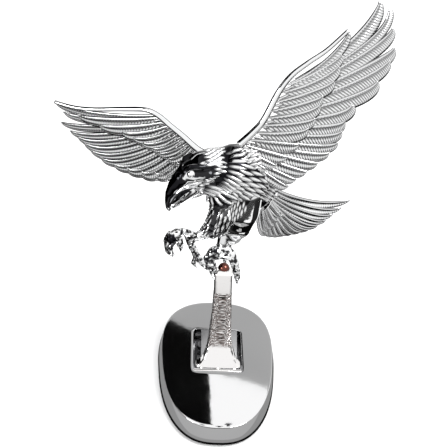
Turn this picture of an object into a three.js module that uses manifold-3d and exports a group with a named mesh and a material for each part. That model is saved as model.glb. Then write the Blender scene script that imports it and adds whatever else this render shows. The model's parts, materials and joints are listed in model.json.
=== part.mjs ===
// A folding eagle hood ornament: a plated egg-shaped foot that sticks to a bonnet,
// a sprung stand arm that folds back, and a cast eagle with open wings on top.
// Millimetres, +Z up. -Y is the narrow front of the foot, +Y the wide rear.
// The origin is the middle of the underside, on the pad's face.
import * as THREE from "three";
import { mergeVertices } from "three/addons/utils/BufferGeometryUtils.js";
import Module from "manifold-3d";

const wasm = await Module();
wasm.setup();

// ---------------------------------------------------------------- driving sizes
const CLEARANCE = 0.3; // between any two touching pieces

// Foot
const FOOT_LENGTH = 68.4;
const FOOT_WIDTH = 44.5;
const FOOT_TOP = 9.0;
const FOOT_WALL = 1.8;
const EGG_POWER = 2.55; // 2 is an ellipse, larger is squarer
const EGG_TAPER = 0.132; // share by which the rear is wider than the middle
const DRAFT = 0.97; // top outline over bottom outline
const EDGE_ROUND = 0.6;
const PAD_THICK = 1.0;
const PLATE_THICK = 1.8;
const COVER_BOTTOM = PAD_THICK + CLEARANCE;
const PLATE_TOP = COVER_BOTTOM + PLATE_THICK;

// Slot that the stand arm folds through
const SLOT_HALF = 10.3;
const SLOT_FRONT = -6.4;
const SLOT_REAR = 17.4;
const SLOT_LIP = 1.0;
const LIP_DEPTH = 2.4;

// Hinge across the front of the slot
const HINGE_Y = -2.6;
const HINGE_Z = 6.0;
const PIN_R = 1.0;
const BARREL_R = 2.2;
const BARREL_HALF = 7.7;
const EAR_THICK = 1.0;
const EAR_R = 2.2;
const STRIP_THICK = 0.8;
const CLIP_THICK = 0.6;
const SPRING_WIRE_R = 0.3;
const SPRING_COIL_R = 1.75;
const SPRING_TURNS = 4;
const SPRING_PITCH = 0.75;
const SPRING_MID = 3.6; // how far each spring's middle is from the centre line

// Stand arm: [height, half width, middle x]
const ARM_STATIONS = [
  [9.1, 9.6, 0.0],
  [10.6, 7.7, 0.4],
  [13.5, 6.3, 0.4],
  [18, 5.15, 0.3],
  [23, 4.45, 0.1],
  [28, 4.1, 0.0],
  [33, 3.8, 0.0],
  [43, 3.45, -0.2],
  [52.5, 3.4, -0.4],
];
const ARM_HALF_DEPTH = 2.5;
const ARM_TOP = 52.5;
const ARM_LEAN = 7.6; // how far back the top stands from the hinge
const RIVET_R = 3.0;
const RIVET_SHANK_R = 1.2;

// Fasteners
const SCREW_R = 1.0;
const SCREW_HEAD_R = 1.9;
const BORE_R = SCREW_R + CLEARANCE;
const BOSS_R = 2.6;
const WING_SCREW_HEAD_R = 2.2;

// ---------------------------------------------------------------- solids
function solid(geometry) {
  const bare = (geometry.index ? geometry.toNonIndexed() : geometry).clone();
  bare.deleteAttribute("normal");
  bare.deleteAttribute("uv");
  const merged = mergeVertices(bare, 1e-4);
  return new wasm.Manifold(
    new wasm.Mesh({
      numProp: 3,
      vertProperties: new Float32Array(merged.attributes.position.array),
      triVerts: new Uint32Array(merged.index.array),
    }),
  );
}

const join = (solids) => solids.reduce((whole, next) => whole.add(next));
const cut = (whole, tools) => tools.reduce((rest, tool) => rest.subtract(tool), whole);

function box(low, high) {
  const size = high.map((value, i) => value - low[i]);
  const middle = high.map((value, i) => (value + low[i]) / 2);
  return solid(new THREE.BoxGeometry(...size).translate(...middle));
}

// A round bar between two points.
function rod(from, to, radius, sides = 16) {
  const a = new THREE.Vector3(...from);
  const b = new THREE.Vector3(...to);
  const along = b.clone().sub(a);
  const turn = new THREE.Quaternion().setFromUnitVectors(
    new THREE.Vector3(0, 1, 0),
    along.clone().normalize(),
  );
  const middle = a.add(b).multiplyScalar(0.5);
  const bar = new THREE.CylinderGeometry(radius, radius, along.length(), sides);
  return solid(bar.applyQuaternion(turn).translate(middle.x, middle.y, middle.z));
}

// A round form at a point, stretched along its own axes and turned about Y.
function blob([center, radii, turn = 0], grow = 0) {
  const ball = new THREE.SphereGeometry(1, 12, 8);
  ball.scale(radii[0] + grow, radii[1] + grow, radii[2] + grow);
  return solid(ball.rotateY(turn).translate(...center));
}

// A tapered bar with round ends from one ball to the next.
function limb([from, fromRadius, to, toRadius], grow = 0) {
  const a = new THREE.Vector3(...from);
  const b = new THREE.Vector3(...to);
  const along = b.clone().sub(a);
  const length = along.length();
  const profile = [];
  const arcSteps = 2;
  for (let i = 0; i <= arcSteps; i++) {
    const angle = (-Math.PI / 2) * (1 - i / arcSteps);
    const r = fromRadius + grow;
    profile.push(new THREE.Vector2(r * Math.cos(angle), r * Math.sin(angle)));
  }
  for (let i = 0; i <= arcSteps; i++) {
    const angle = (Math.PI / 2) * (i / arcSteps);
    const r = toRadius + grow;
    profile.push(new THREE.Vector2(r * Math.cos(angle), length + r * Math.sin(angle)));
  }
  profile[0].x = 0;
  profile.at(-1).x = 0;
  const turn = new THREE.Quaternion().setFromUnitVectors(
    new THREE.Vector3(0, 1, 0),
    along.normalize(),
  );
  const bar = new THREE.LatheGeometry(profile, 8);
  return solid(bar.applyQuaternion(turn).translate(a.x, a.y, a.z));
}

// ---------------------------------------------------------------- foot
// The egg outline, smaller by inset all round.
function eggShape(inset) {
  const halfWidth = FOOT_WIDTH / 2 - inset;
  const halfLength = FOOT_LENGTH / 2 - inset;
  const signedPower = (value) => Math.sign(value) * Math.abs(value) ** (2 / EGG_POWER);
  const points = [];
  const count = 44;
  for (let i = 0; i < count; i++) {
    const angle = (2 * Math.PI * i) / count;
    const y = halfLength * signedPower(Math.sin(angle));
    const widen = 1 + (EGG_TAPER * y) / halfLength;
    points.push(new THREE.Vector2(halfWidth * signedPower(Math.cos(angle)) * widen, y));
  }
  return new THREE.Shape(points);
}

// An egg-shaped block whose walls lean in to the drafted top outline.
function eggBlock(inset, bottom, top, rounding = 0) {
  const block = new THREE.ExtrudeGeometry(eggShape(inset), {
    depth: top - bottom - 2 * rounding,
    bevelEnabled: rounding > 0,
    bevelThickness: rounding,
    bevelSize: rounding,
    bevelOffset: -rounding,
    bevelSegments: 2,
  });
  block.translate(0, 0, bottom + rounding);
  const position = block.attributes.position;
  for (let i = 0; i < position.count; i++) {
    const rise = position.getZ(i) / FOOT_TOP;
    const scale = 1 / DRAFT - (1 / DRAFT - 1) * rise;
    position.setX(i, position.getX(i) * scale);
    position.setY(i, position.getY(i) * scale);
  }
  return solid(block);
}

const plateScrewPlaces = [
  [-14.8, 20],
  [14.8, 20],
  [-11.6, -18],
  [11.6, -18],
];
const ROOF = FOOT_TOP - FOOT_WALL;
const slotHole = box([-SLOT_HALF, SLOT_FRONT, 0], [SLOT_HALF, SLOT_REAR, 20]);
const slotLip = box(
  [-SLOT_HALF - SLOT_LIP, SLOT_FRONT - SLOT_LIP, ROOF - LIP_DEPTH],
  [SLOT_HALF + SLOT_LIP, SLOT_REAR + SLOT_LIP, ROOF + FOOT_WALL / 2],
);
const coverShell = cut(eggBlock(0, COVER_BOTTOM, FOOT_TOP, EDGE_ROUND), [
  eggBlock(FOOT_WALL, -1, ROOF),
]);
const coverBosses = plateScrewPlaces.map(([x, y]) =>
  rod([x, y, PLATE_TOP + CLEARANCE], [x, y, ROOF + 0.5], BOSS_R),
);
const coverBores = plateScrewPlaces.map(([x, y]) => rod([x, y, 0], [x, y, ROOF], BORE_R, 12));
const baseCover = cut(join([coverShell, slotLip, ...coverBosses]), [slotHole, ...coverBores]);

const bracketScrewPlaces = [
  [-6, 12],
  [6, 12],
];
const COUNTERSINK_DEPTH = 1.2;
const plateHoles = plateScrewPlaces.flatMap(([x, y]) => [
  rod([x, y, 0], [x, y, 20], BORE_R, 12),
  rod([x, y, 0], [x, y, COVER_BOTTOM + COUNTERSINK_DEPTH], SCREW_HEAD_R + CLEARANCE),
]);
const bracketHoles = bracketScrewPlaces.map(([x, y]) => rod([x, y, 0], [x, y, 20], BORE_R, 12));
const bottomPlate = cut(eggBlock(FOOT_WALL + CLEARANCE, COVER_BOTTOM, PLATE_TOP), [
  ...plateHoles,
  ...bracketHoles,
]);
const PAD_INSET = 1.6;
const foamPad = eggBlock(PAD_INSET, 0, PAD_THICK);

const HEAD_THICK = 0.9;
const plateScrews = plateScrewPlaces.map(([x, y]) =>
  join([
    rod([x, y, COVER_BOTTOM], [x, y, COVER_BOTTOM + HEAD_THICK], SCREW_HEAD_R),
    rod([x, y, COVER_BOTTOM + HEAD_THICK / 2], [x, y, ROOF - CLEARANCE], SCREW_R, 12),
  ]),
);

// ---------------------------------------------------------------- hinge
const hingeBar = (fromX, toX, radius, sides) =>
  rod([fromX, HINGE_Y, HINGE_Z], [toX, HINGE_Y, HINGE_Z], radius, sides);

const EAR_IN = BARREL_HALF + CLEARANCE;
const EAR_OUT = EAR_IN + EAR_THICK;
const STRIP_BOTTOM = PLATE_TOP + CLEARANCE;
const STRIP_TOP = STRIP_BOTTOM + STRIP_THICK;
const REAR_STRAP_FRONT = 8.4;
const REAR_STRAP_BACK = 16.2;
const FOLD_STOP = { front: 5.8, back: 7.0, half: 3.2, top: 7.2 };

function bracketSide(side) {
  const x = (distance) => side * distance;
  const low = Math.min(x(EAR_IN), x(EAR_OUT));
  const high = Math.max(x(EAR_IN), x(EAR_OUT));
  return join([
    hingeBar(low, high, EAR_R, 20),
    box([low, HINGE_Y - EAR_R, STRIP_BOTTOM], [high, HINGE_Y + EAR_R, HINGE_Z]),
    box([low, HINGE_Y - EAR_R, STRIP_BOTTOM], [high, REAR_STRAP_BACK, STRIP_TOP]),
  ]);
}
const hingeBracket = cut(
  join([
    bracketSide(-1),
    bracketSide(1),
    box([-EAR_OUT, REAR_STRAP_FRONT, STRIP_BOTTOM], [EAR_OUT, REAR_STRAP_BACK, STRIP_TOP]),
    box(
      [-FOLD_STOP.half, FOLD_STOP.front, STRIP_BOTTOM],
      [FOLD_STOP.half, REAR_STRAP_FRONT + 1, STRIP_TOP],
    ),
    box(
      [-FOLD_STOP.half, FOLD_STOP.front, STRIP_BOTTOM],
      [FOLD_STOP.half, FOLD_STOP.back, FOLD_STOP.top],
    ),
  ]),
  [hingeBar(-20, 20, PIN_R + CLEARANCE, 16), ...bracketHoles],
);
const bracketScrews = bracketScrewPlaces.map(([x, y]) =>
  join([
    rod(
      [x, y, STRIP_TOP + CLEARANCE],
      [x, y, STRIP_TOP + CLEARANCE + HEAD_THICK],
      SCREW_HEAD_R,
    ),
    rod([x, y, COVER_BOTTOM], [x, y, STRIP_TOP + CLEARANCE + HEAD_THICK / 2], SCREW_R, 12),
  ]),
);
const PIN_HALF = SLOT_HALF - CLEARANCE;
const hingePin = hingeBar(-PIN_HALF, PIN_HALF, PIN_R, 16);
const clipAt = (side) => {
  const inner = side * (EAR_OUT + CLEARANCE);
  const outer = inner + side * CLIP_THICK;
  return cut(hingeBar(Math.min(inner, outer), Math.max(inner, outer), EAR_R, 20), [
    hingeBar(-20, 20, PIN_R + CLEARANCE, 16),
  ]);
};

// A torsion spring: a coil about the pin, one leg forward on the plate, one up the arm.
const SPRING_LEG_REACH = 2.8;
const SPRING_LEG_TOP = 12.5;
function torsionSpring(side) {
  const stepsPerTurn = 8;
  const quarterTurn = stepsPerTurn / 4;
  const steps = stepsPerTurn * SPRING_TURNS + quarterTurn;
  const startX = side * (SPRING_MID + (SPRING_TURNS * SPRING_PITCH) / 2);
  const frontY = HINGE_Y - SPRING_LEG_REACH;
  const points = [new THREE.Vector3(startX, frontY, STRIP_BOTTOM + SPRING_WIRE_R)];
  for (let i = 0; i <= steps; i++) {
    const angle = (2 * Math.PI * i) / stepsPerTurn;
    points.push(
      new THREE.Vector3(
        startX - (side * SPRING_PITCH * i) / stepsPerTurn,
        HINGE_Y + SPRING_COIL_R * Math.sin(angle),
        HINGE_Z - SPRING_COIL_R * Math.cos(angle),
      ),
    );
  }
  const endX = points.at(-1).x;
  const rearY = HINGE_Y + SPRING_LEG_REACH;
  points.push(new THREE.Vector3(endX, rearY, ARM_STATIONS[0][0]));
  points.push(new THREE.Vector3(endX, rearY + 0.8, SPRING_LEG_TOP));
  const section = new THREE.Shape();
  section.absarc(0, 0, SPRING_WIRE_R, 0, 2 * Math.PI);
  return solid(
    new THREE.ExtrudeGeometry(section, {
      extrudePath: new THREE.CatmullRomCurve3(points),
      steps: points.length + 4,
      curveSegments: 5,
    }),
  );
}

// ---------------------------------------------------------------- stand arm
// The middle of the arm leans back as it rises.
const armY = (z) => {
  const rise = Math.max(z - HINGE_Z, 0) / (ARM_TOP - HINGE_Z);
  return HINGE_Y - 0.6 + ARM_LEAN * rise ** 1.15;
};

function armForm(grow) {
  const left = ARM_STATIONS.map(([z, half, x]) => new THREE.Vector2(x - half - grow, z));
  const right = ARM_STATIONS.map(([z, half, x]) => new THREE.Vector2(x + half + grow, z));
  const outline = new THREE.Shape([...right, ...left.reverse()]);
  const form = new THREE.ExtrudeGeometry(outline, {
    depth: 2 * (ARM_HALF_DEPTH + grow) - 1.4,
    bevelThickness: 0.7,
    bevelSize: 0.7,
    bevelOffset: -0.7,
    bevelSegments: 2,
  });
  form.translate(0, 0, 0.7 - ARM_HALF_DEPTH - grow);
  form.rotateX(Math.PI / 2);
  const position = form.attributes.position;
  for (let i = 0; i < position.count; i++)
    position.setY(i, position.getY(i) + armY(position.getZ(i)));
  return solid(form);
}

const armTopAt = [-0.4, armY(ARM_TOP), ARM_TOP];
const rivetBore = rod(
  [armTopAt[0], armTopAt[1], ARM_TOP - 6],
  [armTopAt[0], armTopAt[1], ARM_TOP + 1],
  RIVET_SHANK_R + CLEARANCE,
  12,
);
const springRoom = [-1, 1].flatMap((side) => {
  const half = (SPRING_TURNS * SPRING_PITCH) / 2 + SPRING_WIRE_R + CLEARANCE;
  const low = side * SPRING_MID - half;
  const high = side * SPRING_MID + half;
  const roomR = SPRING_COIL_R + SPRING_WIRE_R + CLEARANCE;
  return [
    hingeBar(low, high, roomR + 0.4, 20),
    box([low, HINGE_Y, HINGE_Z], [high, HINGE_Y + 8, HINGE_Z + 2.9]),
  ];
});
const standArm = cut(
  join([
    armForm(0),
    hingeBar(-BARREL_HALF, BARREL_HALF, BARREL_R, 24),
    box(
      [-BARREL_HALF, HINGE_Y - BARREL_R, HINGE_Z],
      [BARREL_HALF, HINGE_Y + BARREL_R, ARM_STATIONS[0][0] + 0.6],
    ),
  ]),
  [hingeBar(-20, 20, PIN_R + CLEARANCE, 16), rivetBore, ...springRoom],
);

function rivetForm(grow) {
  const [x, y, z] = armTopAt;
  const dome = blob([[x, y, z + CLEARANCE], [RIVET_R, RIVET_R, 2.4]], grow);
  const keep = box([x - 9, y - 9, z + CLEARANCE - grow], [x + 9, y + 9, z + 9]);
  return dome.intersect(keep);
}
const stemRivet = join([
  rivetForm(0),
  rod(
    [armTopAt[0], armTopAt[1], ARM_TOP - 5.7],
    [armTopAt[0], armTopAt[1], ARM_TOP + 1],
    RIVET_SHANK_R,
    12,
  ),
]);

// ---------------------------------------------------------------- eagle body
const torso = [
  [[2.5, 12, 88], [11, 8.5, 11.5], 0.35],
  [[-4, 9.5, 83.5], [6.5, 7, 9], 0.2],
  [[10, 15, 81.5], [6, 6, 7.5], 0.4],
];
const neckAndHead = [
  [[-1, 10, 93], 8, [-10, 7, 94.5], 6.4],
  [[-10, 7, 95], 6.4, [-14.5, 5, 93.8], 5.2],
  [[-14.5, 5, 94.2], 4.9, [-18.5, 3.6, 91.5], 3.6],
  [[-18.5, 3.6, 91], 3.3, [-21.4, 2.5, 87.5], 2.1],
  [[-21.4, 2.5, 87.5], 2.1, [-21.9, 2.2, 82.3], 0.6],
  [[-15, 4.6, 89.5], 2.6, [-19, 3.2, 84.6], 1.1],
];
const bodyForm = (grow) =>
  join([
    ...torso.map((form) => blob(form, grow)),
    ...neckAndHead.map((form) => limb(form, grow)),
  ]);

// Screws that hold the wings and the tail enter the body from behind, along Y.
const rearScrews = {
  left_wing_screw: { x: 6.5, z: 93.5, tab: 23.2 },
  right_wing_screw: { x: -4.5, z: 91.5, tab: 21.2 },
  tail_screw: { x: 10.5, z: 80, tab: 23.4 },
};
const REAR_SCREW_DEPTH = 9;
const rearBore = ({ x, z, tab }) =>
  rod([x, tab - REAR_SCREW_DEPTH - CLEARANCE, z], [x, 60, z], BORE_R, 12);
const rearTab = ({ x, z, tab }) => rod([x, tab - 8, z], [x, tab, z], 3.2, 16);
const rearScrew = ({ x, z, tab }) =>
  join([
    rod([x, tab + CLEARANCE, z], [x, tab + CLEARANCE + 1.3, z], WING_SCREW_HEAD_R, 20),
    rod([x, tab - REAR_SCREW_DEPTH, z], [x, tab + 1, z], SCREW_R, 12),
  ]);

// ---------------------------------------------------------------- legs
const leftLegForms = [
  [[4.5, 9, 84], 7.2, [2.8, 7.6, 74.5], 6],
  [[2.8, 7.6, 74.5], 6, [2, 7.4, 67], 3.2],
  [[2, 7.4, 67], 2.8, [0.2, 6.2, 59.6], 2.4],
];
const leftFootForms = [
  [[0.2, 6.2, 59.8], 2.6, [-3.7, 4, 58], 2.7],
  [[-3.7, 4, 58], 2.5, [-5.6, 3.2, 53.4], 1.6],
  [[-5.6, 3.2, 53.4], 1.4, [-4.7, 2.6, 48.3], 0.5],
  [[0.2, 6.2, 59.8], 2.5, [3.8, 4.6, 57.4], 2.2],
  [[3.8, 4.6, 57.4], 2.1, [5.2, 3.4, 53], 1.6],
  [[5.2, 3.4, 53], 1.4, [5.3, 2.4, 48.3], 0.6],
  [[0.2, 6.6, 59.6], 2.4, [0.2, 9.6, 56.6], 1.9],
  [[0.2, 9.6, 56.6], 1.6, [0.2, 10, 50.4], 0.6],
];
const rightLegForms = [
  [[-4.4, 11, 80], 6, [-8.2, 8.8, 74.5], 4.9],
  [[-8.2, 8.8, 74.5], 4.9, [-11.8, 5.4, 67.6], 2.5],
  [[-11.8, 5.4, 67.6], 2.3, [-15.8, 2.6, 70.6], 2.1],
  [[-15.8, 2.6, 70.6], 2.2, [-20, 0.6, 68.6], 3.1],
  [[-20.4, 0.4, 68], 2.6, [-21.2, -0.8, 63.6], 1.3],
  [[-21.2, -0.8, 63.6], 1.2, [-18.8, -1, 60.4], 0.5],
  [[-18.4, 1.2, 68.4], 2.2, [-16.8, 1, 64], 0.8],
  [[-15.8, 2.6, 70.4], 2, [-12.2, 3.6, 61.8], 1.5],
  [[-12.2, 3.6, 61.8], 1.5, [-10, 3.6, 55.8], 1.5],
  [[-10, 3.6, 55.8], 1.3, [-12, 2.4, 54], 0.6],
];
const leftFoot = (grow) => join(leftFootForms.map((form) => limb(form, grow)));
const bodyKeepOut = bodyForm(CLEARANCE);
const leftLegWhole = join(leftLegForms.map((form) => limb(form))).add(leftFoot(0));
const leftLeg = cut(leftLegWhole, [
  bodyKeepOut,
  armForm(CLEARANCE),
  rivetForm(CLEARANCE),
  rod([armTopAt[0], armTopAt[1], 50], [armTopAt[0], armTopAt[1], 53.5], RIVET_R + CLEARANCE),
]);
const leftLegKeepOut = join(leftLegForms.map((form) => limb(form, CLEARANCE))).add(
  leftFoot(CLEARANCE),
);
const rightLeg = cut(join(rightLegForms.map((form) => limb(form))), [
  bodyKeepOut,
  leftLegKeepOut,
]);

// ---------------------------------------------------------------- wings and tail
const FEATHER_THICK = 1.5;
const LAYER_STEP = 1.1; // how far the short feathers stand in front of the long ones

// A scalloped edge: each feather ends in a round tip, with a notch before the next.
function scallops(shape, tips, notchTowards, depth) {
  tips.forEach((tip, i) => {
    if (i === 0) return;
    const last = tips[i - 1];
    const middle = [(last[0] + tip[0]) / 2, (last[1] + tip[1]) / 2];
    const gap = Math.hypot(tip[0] - last[0], tip[1] - last[1]);
    const inward = [notchTowards[0] - middle[0], notchTowards[1] - middle[1]];
    const reach = (depth * gap) / Math.hypot(...inward);
    const notch = [middle[0] + inward[0] * reach, middle[1] + inward[1] * reach];
    shape.lineTo(...notch);
    shape.lineTo(...tip);
  });
}

// A thin layer of feathers, upright in X and Z, sheared back by its depth rule.
function featherLayer(lead, tips, notchTowards, depthAt, forward) {
  const shape = new THREE.Shape();
  shape.moveTo(...lead[0]);
  shape.splineThru(lead.slice(1).map((point) => new THREE.Vector2(...point)));
  shape.lineTo(...tips[0]);
  scallops(shape, tips, notchTowards, 0.45);
  const layer = new THREE.ExtrudeGeometry(shape, {
    depth: FEATHER_THICK,
    bevelEnabled: false,
    curveSegments: 2,
  });
  layer.rotateX(Math.PI / 2);
  const position = layer.attributes.position;
  for (let i = 0; i < position.count; i++)
    position.setY(i, position.getY(i) + depthAt(position.getX(i), position.getZ(i)) - forward);
  return solid(layer);
}

// A thick rounded rib along a wing's leading edge.
function rib(points, depthAt, startRadius, endRadius) {
  const balls = points.map(([x, z], i) => {
    const share = i / (points.length - 1);
    return {
      at: [x, depthAt(x, z) - FEATHER_THICK / 2 - LAYER_STEP / 2, z],
      radius: startRadius + (endRadius - startRadius) * share,
    };
  });
  return join(
    balls.slice(1).map((ball, i) => limb([balls[i].at, balls[i].radius, ball.at, ball.radius])),
  );
}

const leftWingY = (x, z) => 10 + 0.05 * (x - 2) + 0.25 * (z - 101);
const leftLead = [
  [-1, 99.5],
  [4, 106],
  [9.2, 112.2],
  [13.2, 121.2],
  [18.1, 128.2],
  [25.9, 134.3],
  [34.2, 141.6],
];
const leftTips = [
  [43.4, 151.1],
  [47.8, 148.3],
  [49.7, 141.9],
  [50.5, 136.6],
  [49.8, 132.1],
  [46.6, 126.2],
  [42.5, 121.6],
  [38.8, 117.2],
  [36.8, 109.5],
  [34.3, 103.4],
  [31.2, 99.2],
  [27.4, 95.6],
  [22.2, 92],
  [17.5, 89.5],
];
const leftCoverts = [
  [34.2, 141.6],
  [33.5, 134.1],
  [32.6, 129.5],
  [30.6, 124.4],
  [28.2, 119.6],
  [26.6, 113.7],
  [24.8, 109],
  [22, 104.9],
  [18.9, 101.2],
  [15.3, 98.4],
  [10.6, 95.6],
];

const rightWingY = (x, z) => 13 - 0.45 * (x + 8) + 0.2 * (z - 100);
const rightLead = [
  [-8, 97],
  [-15, 100],
  [-22.1, 103.5],
  [-30.5, 107.2],
  [-40.3, 105.2],
  [-50.6, 101.9],
  [-57.7, 100.2],
];
const rightTips = [
  [-65.5, 100.5],
  [-63.8, 94.4],
  [-58.8, 90.6],
  [-53.6, 86.6],
  [-47.9, 83.6],
  [-42.4, 82.7],
  [-36.9, 82.9],
  [-31.9, 83.6],
  [-26.6, 84.6],
  [-21, 85.1],
  [-15.5, 86.5],
];
const rightCoverts = [
  [-57.7, 100.2],
  [-54.5, 98.4],
  [-48.3, 97.6],
  [-41.5, 97.2],
  [-35.6, 96.6],
  [-29.8, 95],
  [-25, 93.2],
  [-19.6, 91],
  [-14, 89],
];

const tailY = (x, z) => 18 + 0.35 * (x - 12) - 0.1 * (z - 84);
const tailLead = [
  [11, 80],
  [20.8, 79.3],
  [27.5, 74.4],
  [38.3, 70.2],
];
const tailTips = [
  [49.1, 67.8],
  [46, 64],
  [42, 60.3],
  [37.5, 57.2],
  [33.2, 55.4],
  [28.6, 54.4],
  [23.4, 54.4],
  [18.4, 56],
];
const tailCoverts = [
  [22, 77.5],
  [24.5, 71.6],
  [22.2, 67.4],
  [18.6, 64.6],
  [14.6, 64],
];

function wing({ lead, tips, coverts, depthAt, root, shoulder, screw, ribRadii }) {
  return cut(
    join([
      featherLayer(lead, [...tips, root], root, depthAt, 0),
      featherLayer(lead.slice(0, -1), [...coverts, root], root, depthAt, LAYER_STEP),
      rib(lead, depthAt, ...ribRadii),
      ...shoulder.map((form) => blob(form)),
      rearTab(screw),
    ]),
    [bodyKeepOut, rearBore(screw)],
  );
}

const leftWing = wing({
  lead: leftLead,
  tips: leftTips,
  coverts: leftCoverts,
  depthAt: leftWingY,
  root: [4, 92],
  shoulder: [
    [[5, 12, 99], [5.5, 6.5, 5.5]],
    [[7, 18, 94.5], [4, 5, 5]],
  ],
  screw: rearScrews.left_wing_screw,
  ribRadii: [3, 1],
});
const rightWing = cut(
  wing({
    lead: rightLead,
    tips: rightTips,
    coverts: rightCoverts,
    depthAt: rightWingY,
    root: [-6, 91],
    shoulder: [
      [[-8, 15, 96.5], [5, 6, 4.5]],
      [[-5, 17.5, 92.5], [4, 4, 4.5]],
    ],
    screw: rearScrews.right_wing_screw,
    ribRadii: [2.6, 1],
  }),
  [box([-90, -20, 0], [-9, 11, 93])],
);
const tailFan = cut(
  join([
    featherLayer(tailLead, [...tailTips, [12, 70]], [10, 78], tailY, 0),
    featherLayer(tailLead.slice(0, 2), [...tailCoverts, [12, 70]], [10, 78], tailY, LAYER_STEP),
    blob([[12, 19, 77], [4.5, 4.4, 7]]),
    box([13.2, 12.5, 80.6], [17.4, 18.5, 84.4]),
    rearTab(rearScrews.tail_screw),
  ]),
  [bodyKeepOut, leftLegKeepOut, rearBore(rearScrews.tail_screw)],
);
const eagleBody = cut(bodyForm(0), Object.values(rearScrews).map(rearBore));

// ---------------------------------------------------------------- the assembly
const chrome = { color: 0xd4d6d8, roughness: 0.08, metalness: 1 };
const zincSteel = { color: 0x9b9fa3, roughness: 0.35, metalness: 1 };
const copperTint = { color: 0x7a3f33, roughness: 0.25, metalness: 1 };
const darkFoam = { color: 0x121212, roughness: 0.95, metalness: 0 };

const group = new THREE.Group();
function place(name, whole, look) {
  const made = whole.getMesh();
  const stride = made.numProp;
  const positions = new Float32Array(made.numVert * 3);
  for (let i = 0; i < made.numVert; i++)
    positions.set(made.vertProperties.subarray(i * stride, i * stride + 3), i * 3);
  const geometry = new THREE.BufferGeometry()
    .setAttribute("position", new THREE.BufferAttribute(positions, 3))
    .setIndex(new THREE.BufferAttribute(made.triVerts, 1));
  geometry.computeVertexNormals();
  const mesh = new THREE.Mesh(geometry, new THREE.MeshStandardMaterial(look));
  mesh.name = name;
  group.add(mesh);
}

place("base_cover", baseCover, chrome);
place("foam_pad", foamPad, darkFoam);
place("bottom_plate", bottomPlate, zincSteel);
plateScrews.forEach((screw, i) => place(`plate_screw_${i + 1}`, screw, zincSteel));
place("hinge_bracket", hingeBracket, zincSteel);
bracketScrews.forEach((screw, i) => place(`bracket_screw_${i + 1}`, screw, zincSteel));
place("hinge_pin", hingePin, zincSteel);
place("pin_clip_left", clipAt(-1), zincSteel);
place("pin_clip_right", clipAt(1), zincSteel);
place("torsion_spring_left", torsionSpring(-1), zincSteel);
place("torsion_spring_right", torsionSpring(1), zincSteel);
place("stand_arm", standArm, chrome);
place("arm_rivet", stemRivet, copperTint);
place("eagle_body", eagleBody, chrome);
place("left_leg", leftLeg, chrome);
place("right_leg", rightLeg, chrome);
place("left_wing", leftWing, chrome);
place("right_wing", rightWing, chrome);
place("tail_fan", tailFan, chrome);
Object.entries(rearScrews).forEach(([name, at]) => place(name, rearScrew(at), zincSteel));

export default group;
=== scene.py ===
# A plated eagle ornament that stands on a sprung arm over an egg-shaped foot.
import json
import math

import bmesh
import bpy
from mathutils import Matrix, Vector, noise
from mathutils.bvhtree import BVHTree


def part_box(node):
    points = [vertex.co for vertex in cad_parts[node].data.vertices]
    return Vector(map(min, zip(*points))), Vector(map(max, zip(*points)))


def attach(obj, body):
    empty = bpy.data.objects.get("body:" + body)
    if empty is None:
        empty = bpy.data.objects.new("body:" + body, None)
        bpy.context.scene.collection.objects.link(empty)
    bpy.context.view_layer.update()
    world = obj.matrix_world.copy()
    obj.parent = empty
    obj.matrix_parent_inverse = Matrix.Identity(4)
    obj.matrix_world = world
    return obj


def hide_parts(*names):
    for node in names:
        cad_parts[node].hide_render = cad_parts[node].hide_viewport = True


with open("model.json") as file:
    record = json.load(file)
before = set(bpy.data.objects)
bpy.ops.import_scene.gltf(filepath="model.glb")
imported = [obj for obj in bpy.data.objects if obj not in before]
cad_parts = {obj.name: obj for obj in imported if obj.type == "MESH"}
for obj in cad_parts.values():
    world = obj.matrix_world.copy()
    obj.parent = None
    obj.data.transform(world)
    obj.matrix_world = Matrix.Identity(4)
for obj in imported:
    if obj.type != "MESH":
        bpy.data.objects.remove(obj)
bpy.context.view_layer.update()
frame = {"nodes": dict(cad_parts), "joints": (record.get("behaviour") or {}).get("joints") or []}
nodes = frame["nodes"]
MM = 0.001  # pieces are drawn in millimetres and scaled when they are finished


# ---------------------------------------------------------------- camera
# A short telephoto, above the foot's narrow front and a little to its left, turned a
# few degrees about its own line of sight.
CAMERA_AIM = Vector((5.3, 105.9, 0)) * MM
CAMERA_DISTANCE = 0.4
CAMERA_AZIMUTH = math.radians(4.0)
CAMERA_ELEVATION = math.radians(35.8)
CAMERA_ROLL = math.radians(5.0)
CAMERA_LENS = 61.5

camera_back = Vector((
    -math.sin(CAMERA_AZIMUTH) * math.cos(CAMERA_ELEVATION),
    -math.cos(CAMERA_AZIMUTH) * math.cos(CAMERA_ELEVATION),
    math.sin(CAMERA_ELEVATION),
))
level_right = camera_back.cross(Vector((0, 0, -1))).normalized()
level_up = camera_back.cross(level_right)
camera_right = level_right * math.cos(CAMERA_ROLL) + level_up * math.sin(CAMERA_ROLL)
camera_up = camera_back.cross(camera_right)
camera = bpy.data.objects.new("camera", bpy.data.cameras.new("camera"))
bpy.context.scene.collection.objects.link(camera)
turn = Matrix((camera_right, camera_up, camera_back)).transposed().to_4x4()
camera.matrix_world = Matrix.Translation(CAMERA_AIM + camera_back * CAMERA_DISTANCE) @ turn
camera.data.lens = CAMERA_LENS
camera.data.clip_start = 0.01
bpy.context.scene.camera = camera


# ---------------------------------------------------------------- studio
# A pale floor and a white tent. Black, grey and white cards, which only reflections
# see, give the plate its shapes, and two soft lamps light it from either side.
FLOOR_HALF = 3.0  # in metres


def set_inputs(node, values):
    for label, value in values.items():
        node.inputs[label].default_value = value


def add_node(tree, kind, values=None, **settings):
    """A shader node with some of its settings and input values."""
    made = tree.nodes.new("ShaderNode" + kind)
    for key, value in settings.items():
        setattr(made, key, value)
    set_inputs(made, values or {})
    return made


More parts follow.
